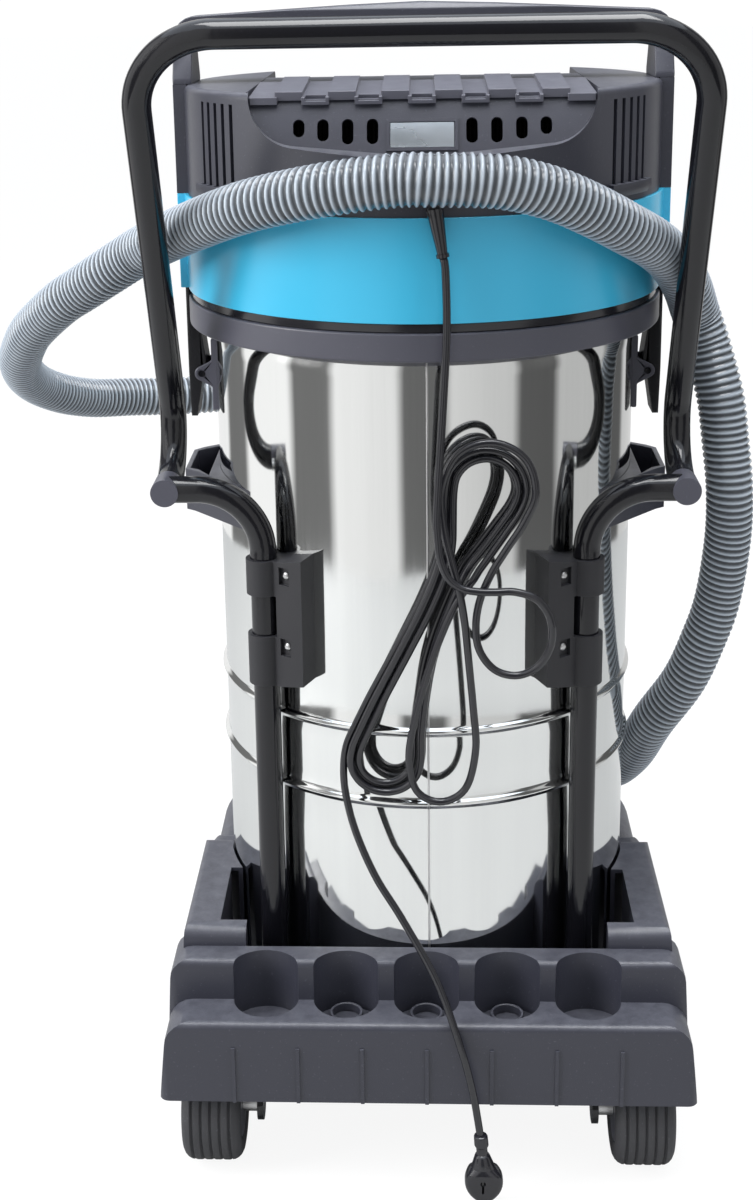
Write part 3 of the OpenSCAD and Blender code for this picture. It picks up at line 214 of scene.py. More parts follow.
def smooth_route(route, steps):
    """Points of a smooth curve through a route, with some steps to each span."""
    p = [Vector(q) for q in route]
    last = len(p) - 1
    line = [
        spline_point(p[max(i - 1, 0)], p[i], p[i + 1], p[min(i + 2, last)], k / steps)
        for i in range(last) for k in range(steps)
    ]
    return line + [p[last]]


def line_length(line):
    """Length of a line through points."""
    return sum((b - a).length for a, b in zip(line, line[1:]))


def even_points(line, count):
    """count + 1 points at even spacing along a line."""
    step = line_length(line) / count
    points = [line[0].copy()]
    travelled = 0.0
    for a, b in zip(line, line[1:]):
        run = (b - a).length
        while len(points) < count and travelled + run >= step * len(points) > 0 and run > 0:
            points.append(a.lerp(b, (step * len(points) - travelled) / run))
        travelled += run
    return points + [line[-1].copy()]


def loop_point(loop, t):
    """Point on a closed smooth loop at fraction t, in the plane y = 0."""
    n = len(loop)
    s = (t - math.floor(t)) * n
    i = int(s)
    p = [Vector((loop[(i + k) % n][0], 0, loop[(i + k) % n][1])) for k in (-1, 0, 1, 2)]
    return spline_point(*p, s - i)


def hank_point(u):
    """The hank after u turns: it spirals in on the middle layer and out on the back layer."""
    half = HANK_TURNS / 2
    inward = HANK_SPREAD * (1 - abs(u - half) / half)
    probe = 0.004
    way = (loop_point(HANK_LOOP, u + probe) - loop_point(HANK_LOOP, u - probe)).normalized()
    climb = min(1, max(0, (u - half) / CLIMB_TURNS + 0.5))
    start = max(0, 1 - u / SINK_TURNS) ** 2
    depth = MID_LAYER + (BACK_LAYER - MID_LAYER) * climb + (HANK_START - MID_LAYER) * start
    return loop_point(HANK_LOOP, u) + Vector((-way.z * inward, depth, way.x * inward))


def cord_route():
    """The whole cord from the gland over the hank to the plug."""
    hank = [hank_point(i / TURN_STEPS) for i in range(int(HANK_TURNS * TURN_STEPS) + 1)]
    lead = smooth_route([*LEAD_ROUTE, hank[0]], ROUTE_STEPS)
    tail = smooth_route([hank[-1], *TAIL_ROUTE], ROUTE_STEPS)
    return lead[:-1] + hank[:-1] + tail


# ---------- mesh helpers ----------


def circle(r, count):
    """Points (x, y) round a circle."""
    angles = [2 * math.pi * k / count for k in range(count)]
    return [(r * math.cos(a), r * math.sin(a)) for a in angles]


def put(name, data):
    """An object in the scene around its data."""
    obj = bpy.data.objects.new(name, data)
    bpy.context.scene.collection.objects.link(obj)
    return obj


def put_mesh(name, verts, faces):
    """A mesh object in the scene."""
    mesh = bpy.data.meshes.new(name)
    mesh.from_pydata([tuple(v) for v in verts], [], faces)
    return put(name, mesh)


def new_piece(name, verts, faces, smooth=True):
    """A mesh object that rides on the main body."""
    piece = put_mesh(name, verts, faces)
    piece.data.validate()
    if smooth:
        piece.data.shade_smooth()
    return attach(piece, MAIN)


def frames_along(line):
    """Tangents and normals along a line, the normals carried on without twist."""
    count = len(line)
    tangents = [
        (line[min(i + 1, count - 1)] - line[max(i - 1, 0)]).normalized() for i in range(count)
    ]
    normal = tangents[0].orthogonal().normalized()
    normals = []
    for tangent in tangents:
        normal = (normal - normal.dot(tangent) * tangent).normalized()
        normals.append(normal)
    return tangents, normals


def tube_verts(line, radius_at, sides):
    """Rings of a tube along a line. radius_at gives the radius from the ring's and the side's number."""
    tangents, normals = frames_along(line)
    verts = []
    for i, centre in enumerate(line):
        across = tangents[i].cross(normals[i])
        verts += [centre + radius_at(i, k) * (x * normals[i] + y * across)
                  for k, (x, y) in enumerate(circle(1, sides))]
    return verts


def ring_faces(rings, sides, base=0, flip=False):
    """Quads between neighbouring rings."""
    faces = []
    for i in range(rings - 1):
        for k in range(sides):
            a = base + i * sides + k
            b = base + i * sides + (k + 1) % sides
            quad = (a, b, b + sides, a + sides)
            faces.append(quad[::-1] if flip else quad)
    return faces


def cap_faces(rings, sides, base=0):
    """End faces of a solid tube."""
    last = base + (rings - 1) * sides
    return [tuple(base + k for k in range(sides))[::-1], tuple(last + k for k in range(sides))]


def lathe(name, profile, segments):
    """Closed solid turned about Z from a closed profile of (r, z)."""
    verts = [(r * x, r * y, z) for x, y in circle(1, segments) for r, z in profile]
    n = len(profile)
    faces = []
    for i in range(segments):
        here, there = i * n, (i + 1) % segments * n
        faces += [(here + k, there + k, there + (k + 1) % n, here + (k + 1) % n) for k in range(n)]
    return new_piece(name, verts, faces)


def round_edges(obj, width, angle=35):
    """Softens the edges of a piece and shades it smoothly."""
    obj.data.shade_smooth()
    weld = obj.modifiers.new("weld", "WELD")
    weld.merge_threshold = 0.002 * MM
    bevel = obj.modifiers.new("bevel", "BEVEL")
    bevel.width = width
    bevel.segments = 2
    bevel.limit_method = "ANGLE"
    bevel.angle_limit = math.radians(angle)
    bevel.harden_normals = False
    normals = obj.modifiers.new("normals", "WEIGHTED_NORMAL")
    normals.keep_sharp = False
    normals.weight = 60


# ---------- shader groups ----------


def new_group(name, inputs, outputs):
    """A shader group with named sockets. inputs are (name, kind, default)."""
    group = bpy.data.node_groups.new(name, "ShaderNodeTree")
    for label, kind, default in inputs:
        socket = group.interface.new_socket(label, in_out="INPUT", socket_type=kind)
        socket.default_value = default
    for label, kind in outputs:
        group.interface.new_socket(label, in_out="OUTPUT", socket_type=kind)
    return group, group.nodes.new("NodeGroupInput"), group.nodes.new("NodeGroupOutput")


def add(tree, kind, **values):
    """A node with some of its settings and inputs set; inputs are named by in_ and their number."""
    node = tree.nodes.new(kind)
    for key, value in values.items():
        if key.startswith("in_"):
            node.inputs[int(key[3:])].default_value = value
        else:
            setattr(node, key, value)
    return node


def join(tree, *pairs):
    """Links given as (from node, from socket, to node, to socket)."""
    for a, out, b, into in pairs:
        tree.links.new(a.outputs[out], b.inputs[into])


def with_alpha(colour):
    """A colour as four values."""
    return (*colour[:3], 1.0)


def noise(tree, scale, detail, roughness):
    """A noise texture; a linked scale takes the place of the one given."""
    return add(tree, "ShaderNodeTexNoise", in_2=scale, in_3=detail, in_4=roughness)


def remapped(tree, low, high, to_low=0.0, to_high=1.0):
    """Maps the range from low to high to another one."""
    return add(tree, "ShaderNodeMapRange", in_1=low, in_2=high, in_3=to_low, in_4=to_high)


def two_tones(tree, dark, light):
    """A mix from a dark colour to a light one."""
    return add(tree, "ShaderNodeMix", data_type="RGBA", in_6=with_alpha(dark), in_7=with_alpha(light))


def bump_of(tree, depth, strength=1.0):
    """A bump with its depth in metres."""
    bump = add(tree, "ShaderNodeBump")
    bump.inputs["Distance"].default_value = depth
    bump.inputs["Strength"].default_value = strength
    return bump


def grain_group():
    """Fine grain of a moulding or a rubber part: height and roughness."""
    group, into, out = new_group(
        "Grain",
        [("Scale", "NodeSocketFloat", 900.0), ("Roughness", "NodeSocketFloat", 0.45),
         ("Spread", "NodeSocketFloat", 0.12)],
        [("Height", "NodeSocketFloat"), ("Roughness", "NodeSocketFloat")])
    place = add(group, "ShaderNodeTexCoord")
    fine = noise(group, 900.0, 3.0, 0.6)
    patches = noise(group, 14.0, 4.0, 0.6)
    centred = add(group, "ShaderNodeMath", operation="SUBTRACT", in_1=0.5)
    spread = add(group, "ShaderNodeMath", operation="MULTIPLY")
    rough = add(group, "ShaderNodeMath", operation="ADD", use_clamp=True)
    join(group, (place, "Object", fine, "Vector"), (place, "Object", patches, "Vector"),
         (into, "Scale", fine, "Scale"), (fine, 0, out, "Height"), (patches, 0, centred, 0),
         (centred, 0, spread, 0), (into, "Spread", spread, 1), (spread, 0, rough, 0),
         (into, "Roughness", rough, 1), (rough, 0, out, "Roughness"))
    return group


def dust_and_sheen_group():
    """Upward faces lightened, partly by a bluish dusting and partly by painted sheen, and faint specks: a
    colour.
    """
    group, into, out = new_group(
        "Dust and scuffs",
        [("Color", "NodeSocketColor", (0.05, 0.05, 0.05, 1)),
         # the bluish grey that upward faces take: partly dusting, partly painted sheen
         ("Dust", "NodeSocketColor", (0.27, 0.28, 0.33, 1)),
         ("Amount", "NodeSocketFloat", 0.3)],
        [("Color", "NodeSocketColor")])
    place = add(group, "ShaderNodeTexCoord")
    shape = add(group, "ShaderNodeNewGeometry")
    split = add(group, "ShaderNodeSeparateXYZ")
    # upward faces, where the colour is lightened: partly dusting, partly painted sheen
    up = remapped(group, 0.35, 1.0)
    cloud = noise(group, 75.0, 6.0, 0.7)
    patch = remapped(group, 0.15, 0.80)
    speck = noise(group, 420.0, 2.0, 0.5)
    dots = remapped(group, 0.66, 0.74)
    upward_dust_sheen = add(group, "ShaderNodeMath", operation="MULTIPLY")
    both = add(group, "ShaderNodeMath", operation="MULTIPLY_ADD", in_1=0.35)
    mask = add(group, "ShaderNodeMath", operation="MULTIPLY", use_clamp=True)
    mix = add(group, "ShaderNodeMix", data_type="RGBA")
    join(group, (place, "Object", cloud, "Vector"), (place, "Object", speck, "Vector"),
         (shape, "Normal", split, 0), (split, "Z", up, 0), (cloud, 0, patch, 0), (speck, 0, dots, 0),
         (up, 0, upward_dust_sheen, 0), (patch, 0, upward_dust_sheen, 1), (dots, 0, both, 0), (upward_dust_sheen, 0, both, 2),
         (both, 0, mask, 0), (into, "Amount", mask, 1), (mask, 0, mix, 0), (into, "Color", mix, 6),
         (into, "Dust", mix, 7), (mix, 2, out, "Color"))
    return group


def streak_group():
    """Long soft streaks along Z, as in rolled and wiped sheet: a mask and a height."""
    group, into, out = new_group(
        "Streaks",
        [("Across", "NodeSocketFloat", 60.0), ("Along", "NodeSocketFloat", 0.6)],
        [("Mask", "NodeSocketFloat"), ("Height", "NodeSocketFloat")])
    place = add(group, "ShaderNodeTexCoord")
    shape = add(group, "ShaderNodeCombineXYZ")
    stretch = add(group, "ShaderNodeVectorMath", operation="MULTIPLY")
    lines = noise(group, 1.0, 5.0, 0.7)
    waves = noise(group, 5.5, 1.0, 0.3)
    join(group, (into, "Across", shape, 0), (into, "Across", shape, 1), (into, "Along", shape, 2),
         (place, "Object", stretch, 0), (shape, 0, stretch, 1), (stretch, 0, lines, "Vector"),
         (place, "Object", waves, "Vector"), (lines, 0, out, "Mask"), (waves, 0, out, "Height"))
    return group


GROUPS = {}


def group_node(tree, name, **values):
    """A shared effect placed in a material with its own values."""
    node = tree.nodes.new("ShaderNodeGroup")
    node.node_tree = GROUPS[name]
    for label, value in values.items():
        node.inputs[label].default_value = value
    return node


def blank_material(name, **values):
    """A material with a Principled BSDF whose named sockets are set."""
    material = bpy.data.materials.new(name)
    material.use_nodes = True
    shader = material.node_tree.nodes["Principled BSDF"]
    for label, value in values.items():
        shader.inputs[label.replace("_", " ")].default_value = value
    return material, material.node_tree, shader


def moulded(name, colour, roughness, grain, scale=900.0, spread=0.12, dust_and_sheen=0.3, **values):
    """Moulded plastic or rubber with grain, patchy gloss, and upward faces lightened partly by dusting and
    partly by painted sheen.
    """
    material, tree, shader = blank_material(name, **values)
    surface = group_node(tree, "Grain", Scale=scale, Roughness=roughness, Spread=spread)
    dust_sheen_node = group_node(tree, "Dust and scuffs", Color=with_alpha(colour), Amount=dust_and_sheen)
    bump = bump_of(tree, grain)
    join(tree, (surface, "Height", bump, "Height"), (surface, "Roughness", shader, "Roughness"),
         (dust_sheen_node, "Color", shader, "Base Color"), (bump, 0, shader, "Normal"))
    return material


def polished_steel(name, colour):
    """Mirror polished tank sheet, slightly wavy, with wiped streaks."""
    material, tree, shader = blank_material(name, Metallic=1.0)
    streaks = group_node(tree, "Streaks", Across=45.0, Along=0.8)
    tone = two_tones(tree, [c * 0.86 for c in colour], colour)
    rough = remapped(tree, 0.3, 0.7, 0.035, 0.10)
    bump = bump_of(tree, 6 * MM, strength=0.5)
    join(tree, (streaks, "Mask", tone, 0), (tone, 2, shader, "Base Color"), (streaks, "Mask", rough, 0),
         (rough, 0, shader, "Roughness"), (streaks, "Height", bump, "Height"), (bump, 0, shader, "Normal"))
    return material


def plated_steel(name, colour, roughness):
    """Zinc plated or plain metal with a faint mottle."""
    material, tree, shader = blank_material(name, Metallic=1.0)
    surface = group_node(tree, "Grain", Scale=500.0, Roughness=roughness, Spread=0.2)
    dust_sheen_node = group_node(tree, "Dust and scuffs", Color=with_alpha(colour), Dust=(0.25, 0.24, 0.22, 1), Amount=0.2)
    bump = bump_of(tree, 0.04 * MM)
    join(tree, (surface, "Height", bump, "Height"), (surface, "Roughness", shader, "Roughness"),
         (dust_sheen_node, "Color", shader, "Base Color"), (bump, 0, shader, "Normal"))
    return material


def hose_finish(name, colour):
    """Satin grey hose with painted shade in its grooves: its own grey on the ribs, darkened to 12 percent in
    the grooves, by the mesh's own rib values.
    """
    material, tree, shader = blank_material(name)
    rib = add(tree, "ShaderNodeAttribute", attribute_name="rib")
    # painted shade: the grooves take 12 percent of the hose's grey
    tone = two_tones(tree, [c * 0.12 for c in colour], colour)
    surface = group_node(tree, "Grain", Scale=260.0, Roughness=0.19, Spread=0.08)
    dust_sheen_node = group_node(tree, "Dust and scuffs", Amount=0.2)
    bump = bump_of(tree, 0.08 * MM)
    join(tree, (rib, "Fac", tone, 0), (tone, 2, dust_sheen_node, "Color"), (dust_sheen_node, "Color", shader, "Base Color"),
         (surface, "Roughness", shader, "Roughness"), (surface, "Height", bump, "Height"),
         (bump, 0, shader, "Normal"))
    return material


def woven_cloth(name, colour):
    """Filter cloth with a fine weave."""
    material, tree, shader = blank_material(name, Roughness=0.9, Sheen_Weight=0.3)
    place = add(tree, "ShaderNodeTexCoord")
    weave = add(tree, "ShaderNodeTexBrick", in_4=700.0)
    tone = two_tones(tree, [c * 0.7 for c in colour], colour)
    bump = bump_of(tree, 0.3 * MM)
    join(tree, (place, "Object", weave, "Vector"), (weave, "Fac", tone, 0), (tone, 2, shader, "Base Color"),
         (weave, "Fac", bump, "Height"), (bump, 0, shader, "Normal"))
    return material


def make_finishes(finish):
    """All materials: by the record's slot names, and three finishes for single pieces: the comb's lighter grey
    paints sheen, the clamps' darker black paints shade, and the near-black vent foam also paints the shade in
    the vents.
    """
    GROUPS.update({g.name: g for g in (grain_group(), dust_and_sheen_group(), streak_group())})
    grain = finish.grain
    return {
        "black_plastic": moulded("Black moulding", finish.black, 0.36, grain, dust_and_sheen=finish.dust_and_sheen),
        "grey_plastic": moulded("Grey moulding", finish.grey, 0.40, grain * 0.8, dust_and_sheen=finish.dust_and_sheen * 0.6),
        "blue_plastic": moulded(
            "Blue moulding", finish.blue, 0.30, grain * 0.35, scale=260.0, spread=0.08, dust_and_sheen=finish.dust_and_sheen * 0.15,
            Coat_Weight=0.15, Coat_Roughness=0.2),
        "stainless": polished_steel("Polished steel", finish.steel),
        "zinc_steel": plated_steel("Zinc plate", (0.58, 0.58, 0.58), 0.32),
        "fan_alloy": plated_steel("Fan alloy", (0.75, 0.76, 0.77), 0.25),
        "rating_foil": plated_steel("Plate foil", (0.50, 0.54, 0.58), 0.30),
        "tyre_rubber": moulded("Tyre rubber", (0.030, 0.030, 0.034), 0.62, grain * 1.6, scale=600.0, dust_and_sheen=0.4),
        # near-black foam of the vent filter, dark enough to also stand in for the shade inside the vents
        "filter_foam": moulded("Filter foam", (0.004, 0.004, 0.005), 0.85, grain * 2, scale=700.0, dust_and_sheen=0.02),
        # a lighter copy of the grey moulding with full dusting: painted sheen, as if the comb's top faces
        # mirrored the white room
        "comb_grey_painted_sheen": moulded("Comb moulding", (0.075, 0.076, 0.098), 0.36, grain * 0.8, dust_and_sheen=finish.dust_and_sheen),
        # a darker copy of the black moulding: painted shade on the clamps, darker than the lights make them
        "clamp_black_painted_shade": moulded("Clamp moulding", (0.010, 0.010, 0.013), 0.52, grain, dust_and_sheen=finish.dust_and_sheen * 0.2),
        "soft_rubber": moulded(
            "Cord rubber", (0.009, 0.009, 0.012), 0.17, grain * 0.15, scale=300.0, spread=0.06, dust_and_sheen=0.05,
            IOR=1.6),
        "gloss_black_tube": moulded(
            "Powder coat", (0.005, 0.005, 0.007), 0.13, grain * 0.3, scale=220.0, spread=0.05, dust_and_sheen=0.04),
        "gloss_black_latch": moulded(
            "Gloss moulding", (0.016, 0.016, 0.018), 0.18, grain * 0.3, scale=240.0, spread=0.06, dust_and_sheen=0.1),
        "filter_cloth": woven_cloth("Filter cloth", (0.80, 0.79, 0.75)),
        "float_white": moulded("White float", (0.80, 0.79, 0.74), 0.45, grain * 0.5, dust_and_sheen=0.1),
        "rocker_red": moulded("Rocker red", (0.50, 0.020, 0.014), 0.25, grain * 0.2, dust_and_sheen=0.05),
        "hose_grey": hose_finish("Hose grey", finish.hose),
    }


FINISHES = {}


def paint(piece, slot, finish=None):
    """Gives a piece the finish of one of the record's slots, or a finish of its own."""
    piece.data.materials.clear()
    piece.data.materials.append(FINISHES[finish or slot])
    return piece


# ---------- operators ----------


class VACUUM_OT_finishes(bpy.types.Operator):
    """Gives every carried-over solid its finish and softens its edges."""

    bl_idname = "vacuum.finishes"
    bl_label = "Finishes and edges"

    # small pieces, which get a smaller edge
    fine_nodes = {
        "latch_pins", "rating_plate", "clamp_screws", "handle_bolts", "castor_axle_left", "castor_axle_right"}
    fine_edge = 0.3
    # pieces whose finish isn't that of their slot: the comb's is a lighter copy of the grey moulding that
    # paints sheen, the clamps' a darker copy of the black one that paints shade
    own_finish = {"tank_clamps": "clamp_black_painted_shade", "top_comb": "comb_grey_painted_sheen"}
    # round and soft forms without edges
    plain_nodes = {"float_ball", "filter_bag", "cord_lead", "cord_hank", "cord_tail", "hose"}

    def execute(self, context):
        FINISHES.update(make_finishes(context.scene.vacuum_finish))
        edge = context.scene.vacuum_detail.edge
        slots = {part["node"]: part["material_slot"] for part in frame["record"]["subparts"]}
        for name, obj in frame["nodes"].items():
            paint(obj, slots[name], self.own_finish.get(name))
            if name in self.plain_nodes:
                obj.data.shade_smooth()
            else:
                round_edges(obj, edge * self.fine_edge if name in self.fine_nodes else edge)
        return {"FINISHED"}


class VACUUM_OT_tank(bpy.types.Operator):
    """Builds the polished tank sheet with its rolled beads and weld seam."""

    bl_idname = "vacuum.tank"
    bl_label = "Tank sheet"

    wall = 1.5 * MM
    corner = 8 * MM
    bead_out = 4 * MM
    bead_w = 12 * MM
    # height of each bead's middle above the tank's foot
    beads = (241 * MM, 314 * MM)
    # radius of the small closed middle of the floor
    navel = 0.2 * MM
    segments = 256
    seam_x = 3 * MM
    seam_half = 1.3 * MM
    seam_proud = 0.35 * MM
    seam_sunk = 0.3 * MM

    def side(self, r, low, rim):
        """Profile (r, z) of the wall from the floor's edge to the rim, with its beads."""
        corner, bead_w = self.corner, self.bead_w
        points = [(r - corner + corner * math.sin(a), low + corner - corner * math.cos(a))
                  for a in [math.radians(10 * i) for i in range(10)]]
        z = low + corner
        for bead in self.beads:
            centre = low + bead
            gap = centre - bead_w / 2 - z
            points += [(r, z + gap * k / 6) for k in range(1, 6)]
            points += [(r + self.bead_out * (1 - math.cos(math.radians(22.5 * i))) / 2,
                        centre + bead_w * (i / 16 - 0.5)) for i in range(17)]
            z = centre + bead_w / 2
        return points + [(r, z + (rim - z) * k / 10) for k in range(1, 11)]

    def seam(self, profile):
        """A low weld line that follows the wall's profile at the rear."""
        half, sunk, proud = self.seam_half, -self.seam_sunk, self.seam_proud
        across = ((-half, sunk), (-half / 2, proud), (half / 2, proud), (half, sunk))
        verts = []
        for r, z in profile:
            for x, out in across:
                y = -math.sqrt((r + out) ** 2 - (self.seam_x + x) ** 2)
                verts.append((self.seam_x + x, y, z))
        rings, sides = len(profile), len(across)
        return new_piece("tank_seam", verts, ring_faces(rings, sides) + cap_faces(rings, sides))

    def execute(self, context):
        low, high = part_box("tank_drum")
        r = high.x - self.bead_out
        floor = low.z + self.wall
        profile = self.side(r, low.z, high.z)
        outer = [(self.navel, low.z)] + profile
        inner = [(self.navel, floor)] + [(x, max(z, floor)) for x, z in self.side(r - self.wall, low.z, high.z)]
        sheet = lathe("tank_sheet", outer + inner[::-1], self.segments)
        paint(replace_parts(sheet, "tank_drum"), "stainless")
        seam = self.seam([p for p in profile if p[1] > low.z + self.corner])
        # brushed instead of polished
        paint(seam, "stainless", "zinc_steel")
        return {"FINISHED"}


class VACUUM_OT_hose(bpy.types.Operator):
    """Sweeps the ribbed suction hose along its route."""

    bl_idname = "vacuum.hose"
    bl_label = "Suction hose"

    sides = 28
    steps_per_rib = 8
    route_steps = 12
    # above 1 it narrows the band of the hose's own grey along each rib and widens the painted groove shade
    band_power = 2.2

    def execute(self, context):
        detail = context.scene.vacuum_detail
        route = smooth_route(HOSE_ROUTE, self.route_steps)
        length = line_length(route) * MM
        sides, steps_per_rib = self.sides, self.steps_per_rib
        count = round(length / detail.hose_pitch) * steps_per_rib
        line = [p * MM for p in even_points(route, count)]
        crest = HOSE_R * MM

        def height(i, k):
            """Height of the spiral rib, from 0 in a groove to 1 on a crest."""
            phase = i / steps_per_rib + k / sides
            return 0.5 + 0.5 * math.cos(2 * math.pi * phase)

        def end_fade(i):
            return min(1, i / steps_per_rib, (count - i) / steps_per_rib)

        def outer_r(i, k):
            return crest - detail.hose_depth * (1 - height(i, k) * end_fade(i))

        outer = tube_verts(line, outer_r, sides)
        bore_line = line[::steps_per_rib // 2]
        inner = tube_verts(bore_line, lambda i, k: HOSE_BORE_R * MM, sides)
        rings, bores = count + 1, len(bore_line)
        base = len(outer)
        faces = ring_faces(rings, sides) + ring_faces(bores, sides, base, flip=True)
        end, bore_end = (rings - 1) * sides, base + (bores - 1) * sides
        for k in range(sides):
            j = (k + 1) % sides
            faces.append((k, base + k, base + j, j))
            faces.append((end + k, end + j, bore_end + j, bore_end + k))
        hose = new_piece("suction_hose", outer + inner, faces)
        # rib values: 1 keeps the hose's grey, 0 gives the painted groove shade
        groove_shade_bands = [height(i, k) ** self.band_power for i in range(rings) for k in range(sides)]
        rib = hose.data.attributes.new("rib", "FLOAT", "POINT")
        rib.data.foreach_set("value", groove_shade_bands + [0.0] * len(inner))
        paint(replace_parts(hose, "hose"), "hose_grey")
        return {"FINISHED"}


class VACUUM_OT_cord(bpy.types.Operator):
    """Sweeps the mains cord from its gland through the hank to the plug."""

    bl_idname = "vacuum.cord"
    bl_label = "Mains cord"

    sides = 14

    def execute(self, context):
        step = context.scene.vacuum_detail.cord_step
        route = cord_route()
        length = line_length(route) * MM
        line = [p * MM for p in even_points(route, round(length / step))]
        verts = tube_verts(line, lambda i, k: CORD_R * MM, self.sides)
        faces = ring_faces(len(line), self.sides) + cap_faces(len(line), self.sides)
        cord = new_piece("mains_cord", verts, faces)
        paint(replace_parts(cord, "cord_lead", "cord_hank", "cord_tail"), "soft_rubber")
        return {"FINISHED"}


class VACUUM_OT_plug(bpy.types.Operator):
    """Builds the moulded round plug: sleeve, waisted grip, round body and two pins."""

    bl_idname = "vacuum.plug"
    bl_label = "Mains plug"

    # all sizes in millimetres
    sides = 48
    cord_end = (50, -291, 74)
    middle = (53, -296, 28)
    # height over which the sleeve leans from the cord's end to the body's middle
    lean_height = 40
    body_r = 18
    body_half = 11
    sleeve_half = 9.5
    # how much deeper than wide the body is near its foot
    foot_gain = 3
    # height above the floor and half width of each ring, from the cord down to the round body
    waist = [(74, 4.2), (73, 6), (72, 6.5), (64, 6.7), (63, 6.3), (62, 5.3), (55, 5.2), (54, 6.6), (53, 7.2),
             (48, 9), (43, 11), (42.2, 11.6)]
    # how round a ring is: 1 is an ellipse, less is nearer to a box
    waist_power = 0.95
    body_power = 0.55
    pin_sides = 20
    pin_out = 9.5
    pin_sunk = 2
    # radius and height of each ring of a pin
    pin_rings = [(2.4, 0), (2.4, 22), (1.4, 23)]
    # name, radius, height above the floor and extra height of the two recesses in the rear face
    recesses = [("plug_hole", 2.6, 31, 0), ("plug_notch", 1.1, 26, 9)]
    recess_sides = 24
    recess_x = -1
    recess_y = (-14, -5)
    edge = 0.5

    def ring(self, z, half_w, half_d, power):
        """One level ring with flattened sides; the rings lean from the cord's end to the body."""
        lean = min(1, max(0, (self.cord_end[2] - z) / self.lean_height))
        x, y = [a + (b - a) * lean for a, b in zip(self.cord_end[:2], self.middle)]

        def flat(v):
            return math.copysign(abs(v) ** power, v)

        return [Vector((x + half_w * flat(c), y + half_d * flat(s), z)) * MM for c, s in circle(1, self.sides)]

    def body(self):
        """Vertices and faces of the sleeve with the round body, and of both pins."""
        rings = [self.ring(z, w, min(w, self.sleeve_half), self.waist_power) for z, w in self.waist]
        for degrees in range(52, 176, 6):
            a = math.radians(degrees)
            half = self.body_r * math.sin(a)
            level = self.middle[2] + self.body_r * math.cos(a)
            rings.append(self.ring(level, half, min(self.body_half, half + self.foot_gain), self.body_power))
        verts = [v for ring in rings for v in ring]
        faces = [f[::-1] for f in ring_faces(len(rings), self.sides) + cap_faces(len(rings), self.sides)]
        x, y, z = self.middle
        for side in (-1, 1):
            foot = Vector((x + side * self.pin_out, y + self.body_half - self.pin_sunk, z)) * MM
            pin = Matrix.Translation(foot) @ Matrix.Rotation(math.radians(-90), 4, "X")
            base = len(verts)
            verts += [pin @ (Vector((px, py, pz)) * MM)
                      for r, pz in self.pin_rings for px, py in circle(r, self.pin_sides)]
            count = len(self.pin_rings)
            faces += ring_faces(count, self.pin_sides, base) + cap_faces(count, self.pin_sides, base)
        return verts, faces

    def cutter(self, name, r, z, extra):
        """An upright slot, or a round hole where it has no extra height, to cut from the rear face."""
        count = self.recess_sides
        outline = [(self.middle[0] + self.recess_x + x, z + up + (extra if k < count / 2 else -extra) / 2)
                   for k, (x, up) in enumerate(circle(r, count))]
        verts = [Vector((x, self.middle[1] + y, up)) * MM for y in self.recess_y for x, up in outline]
        return put_mesh(name, verts, [f[::-1] for f in ring_faces(2, count) + cap_faces(2, count)])

    def execute(self, context):
        plug = new_piece("mains_plug", *self.body())
        cutters = [self.cutter(*recess) for recess in self.recesses]
        for cutter in cutters:
            cut = plug.modifiers.new(cutter.name, "BOOLEAN")
            cut.object, cut.operation, cut.solver = cutter, "DIFFERENCE", "EXACT"
        shaped = bpy.data.meshes.new_from_object(plug.evaluated_get(context.evaluated_depsgraph_get()))
        plug.modifiers.clear()
        plug.data = shaped
        for cutter in cutters:
            bpy.data.objects.remove(cutter)
        round_edges(plug, self.edge * MM, angle=40)
        paint(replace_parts(plug, "plug"), "soft_rubber")
        return {"FINISHED"}


class VACUUM_OT_vent_filter(bpy.types.Operator):
    """Builds the pleated near-black filter panel behind the eight rear vents, which also paints the shade
    inside them.
    """

    bl_idname = "vacuum.vent_filter"
    bl_label = "Vent filter"

    # all sizes in millimetres
    half_w = 122
    low, high = 966, 1000
    front = -144
    pleats = 61
    depth = 5
    thickness = 1.2

    def execute(self, context):
        count = self.pleats * 2
        row = count + 1
        verts = [
            Vector((self.half_w * (2 * i / count - 1), self.front + self.depth * (i % 2) + inset, z)) * MM
            for z in (self.low, self.high) for inset in (0, self.thickness) for i in range(row)]
        # the rows are the lower front edge, the lower back edge, and the two upper edges
        front_low, back_low, front_high, back_high = range(0, 4 * row, row)
        faces = []
        for i in range(count):
            for a, b in ((front_low, front_high), (back_high, back_low), (back_low, front_low),
                         (front_high, back_high)):
                faces.append((a + i, a + i + 1, b + i + 1, b + i))
        faces += [(front_low, front_high, back_high, back_low),
                  (front_low + count, back_low + count, back_high + count, front_high + count)]
        # near-black: a filter that also paints the shade inside the vents
        paint(new_piece("vent_filter", verts, faces, smooth=False), "black_plastic", "filter_foam")
        return {"FINISHED"}


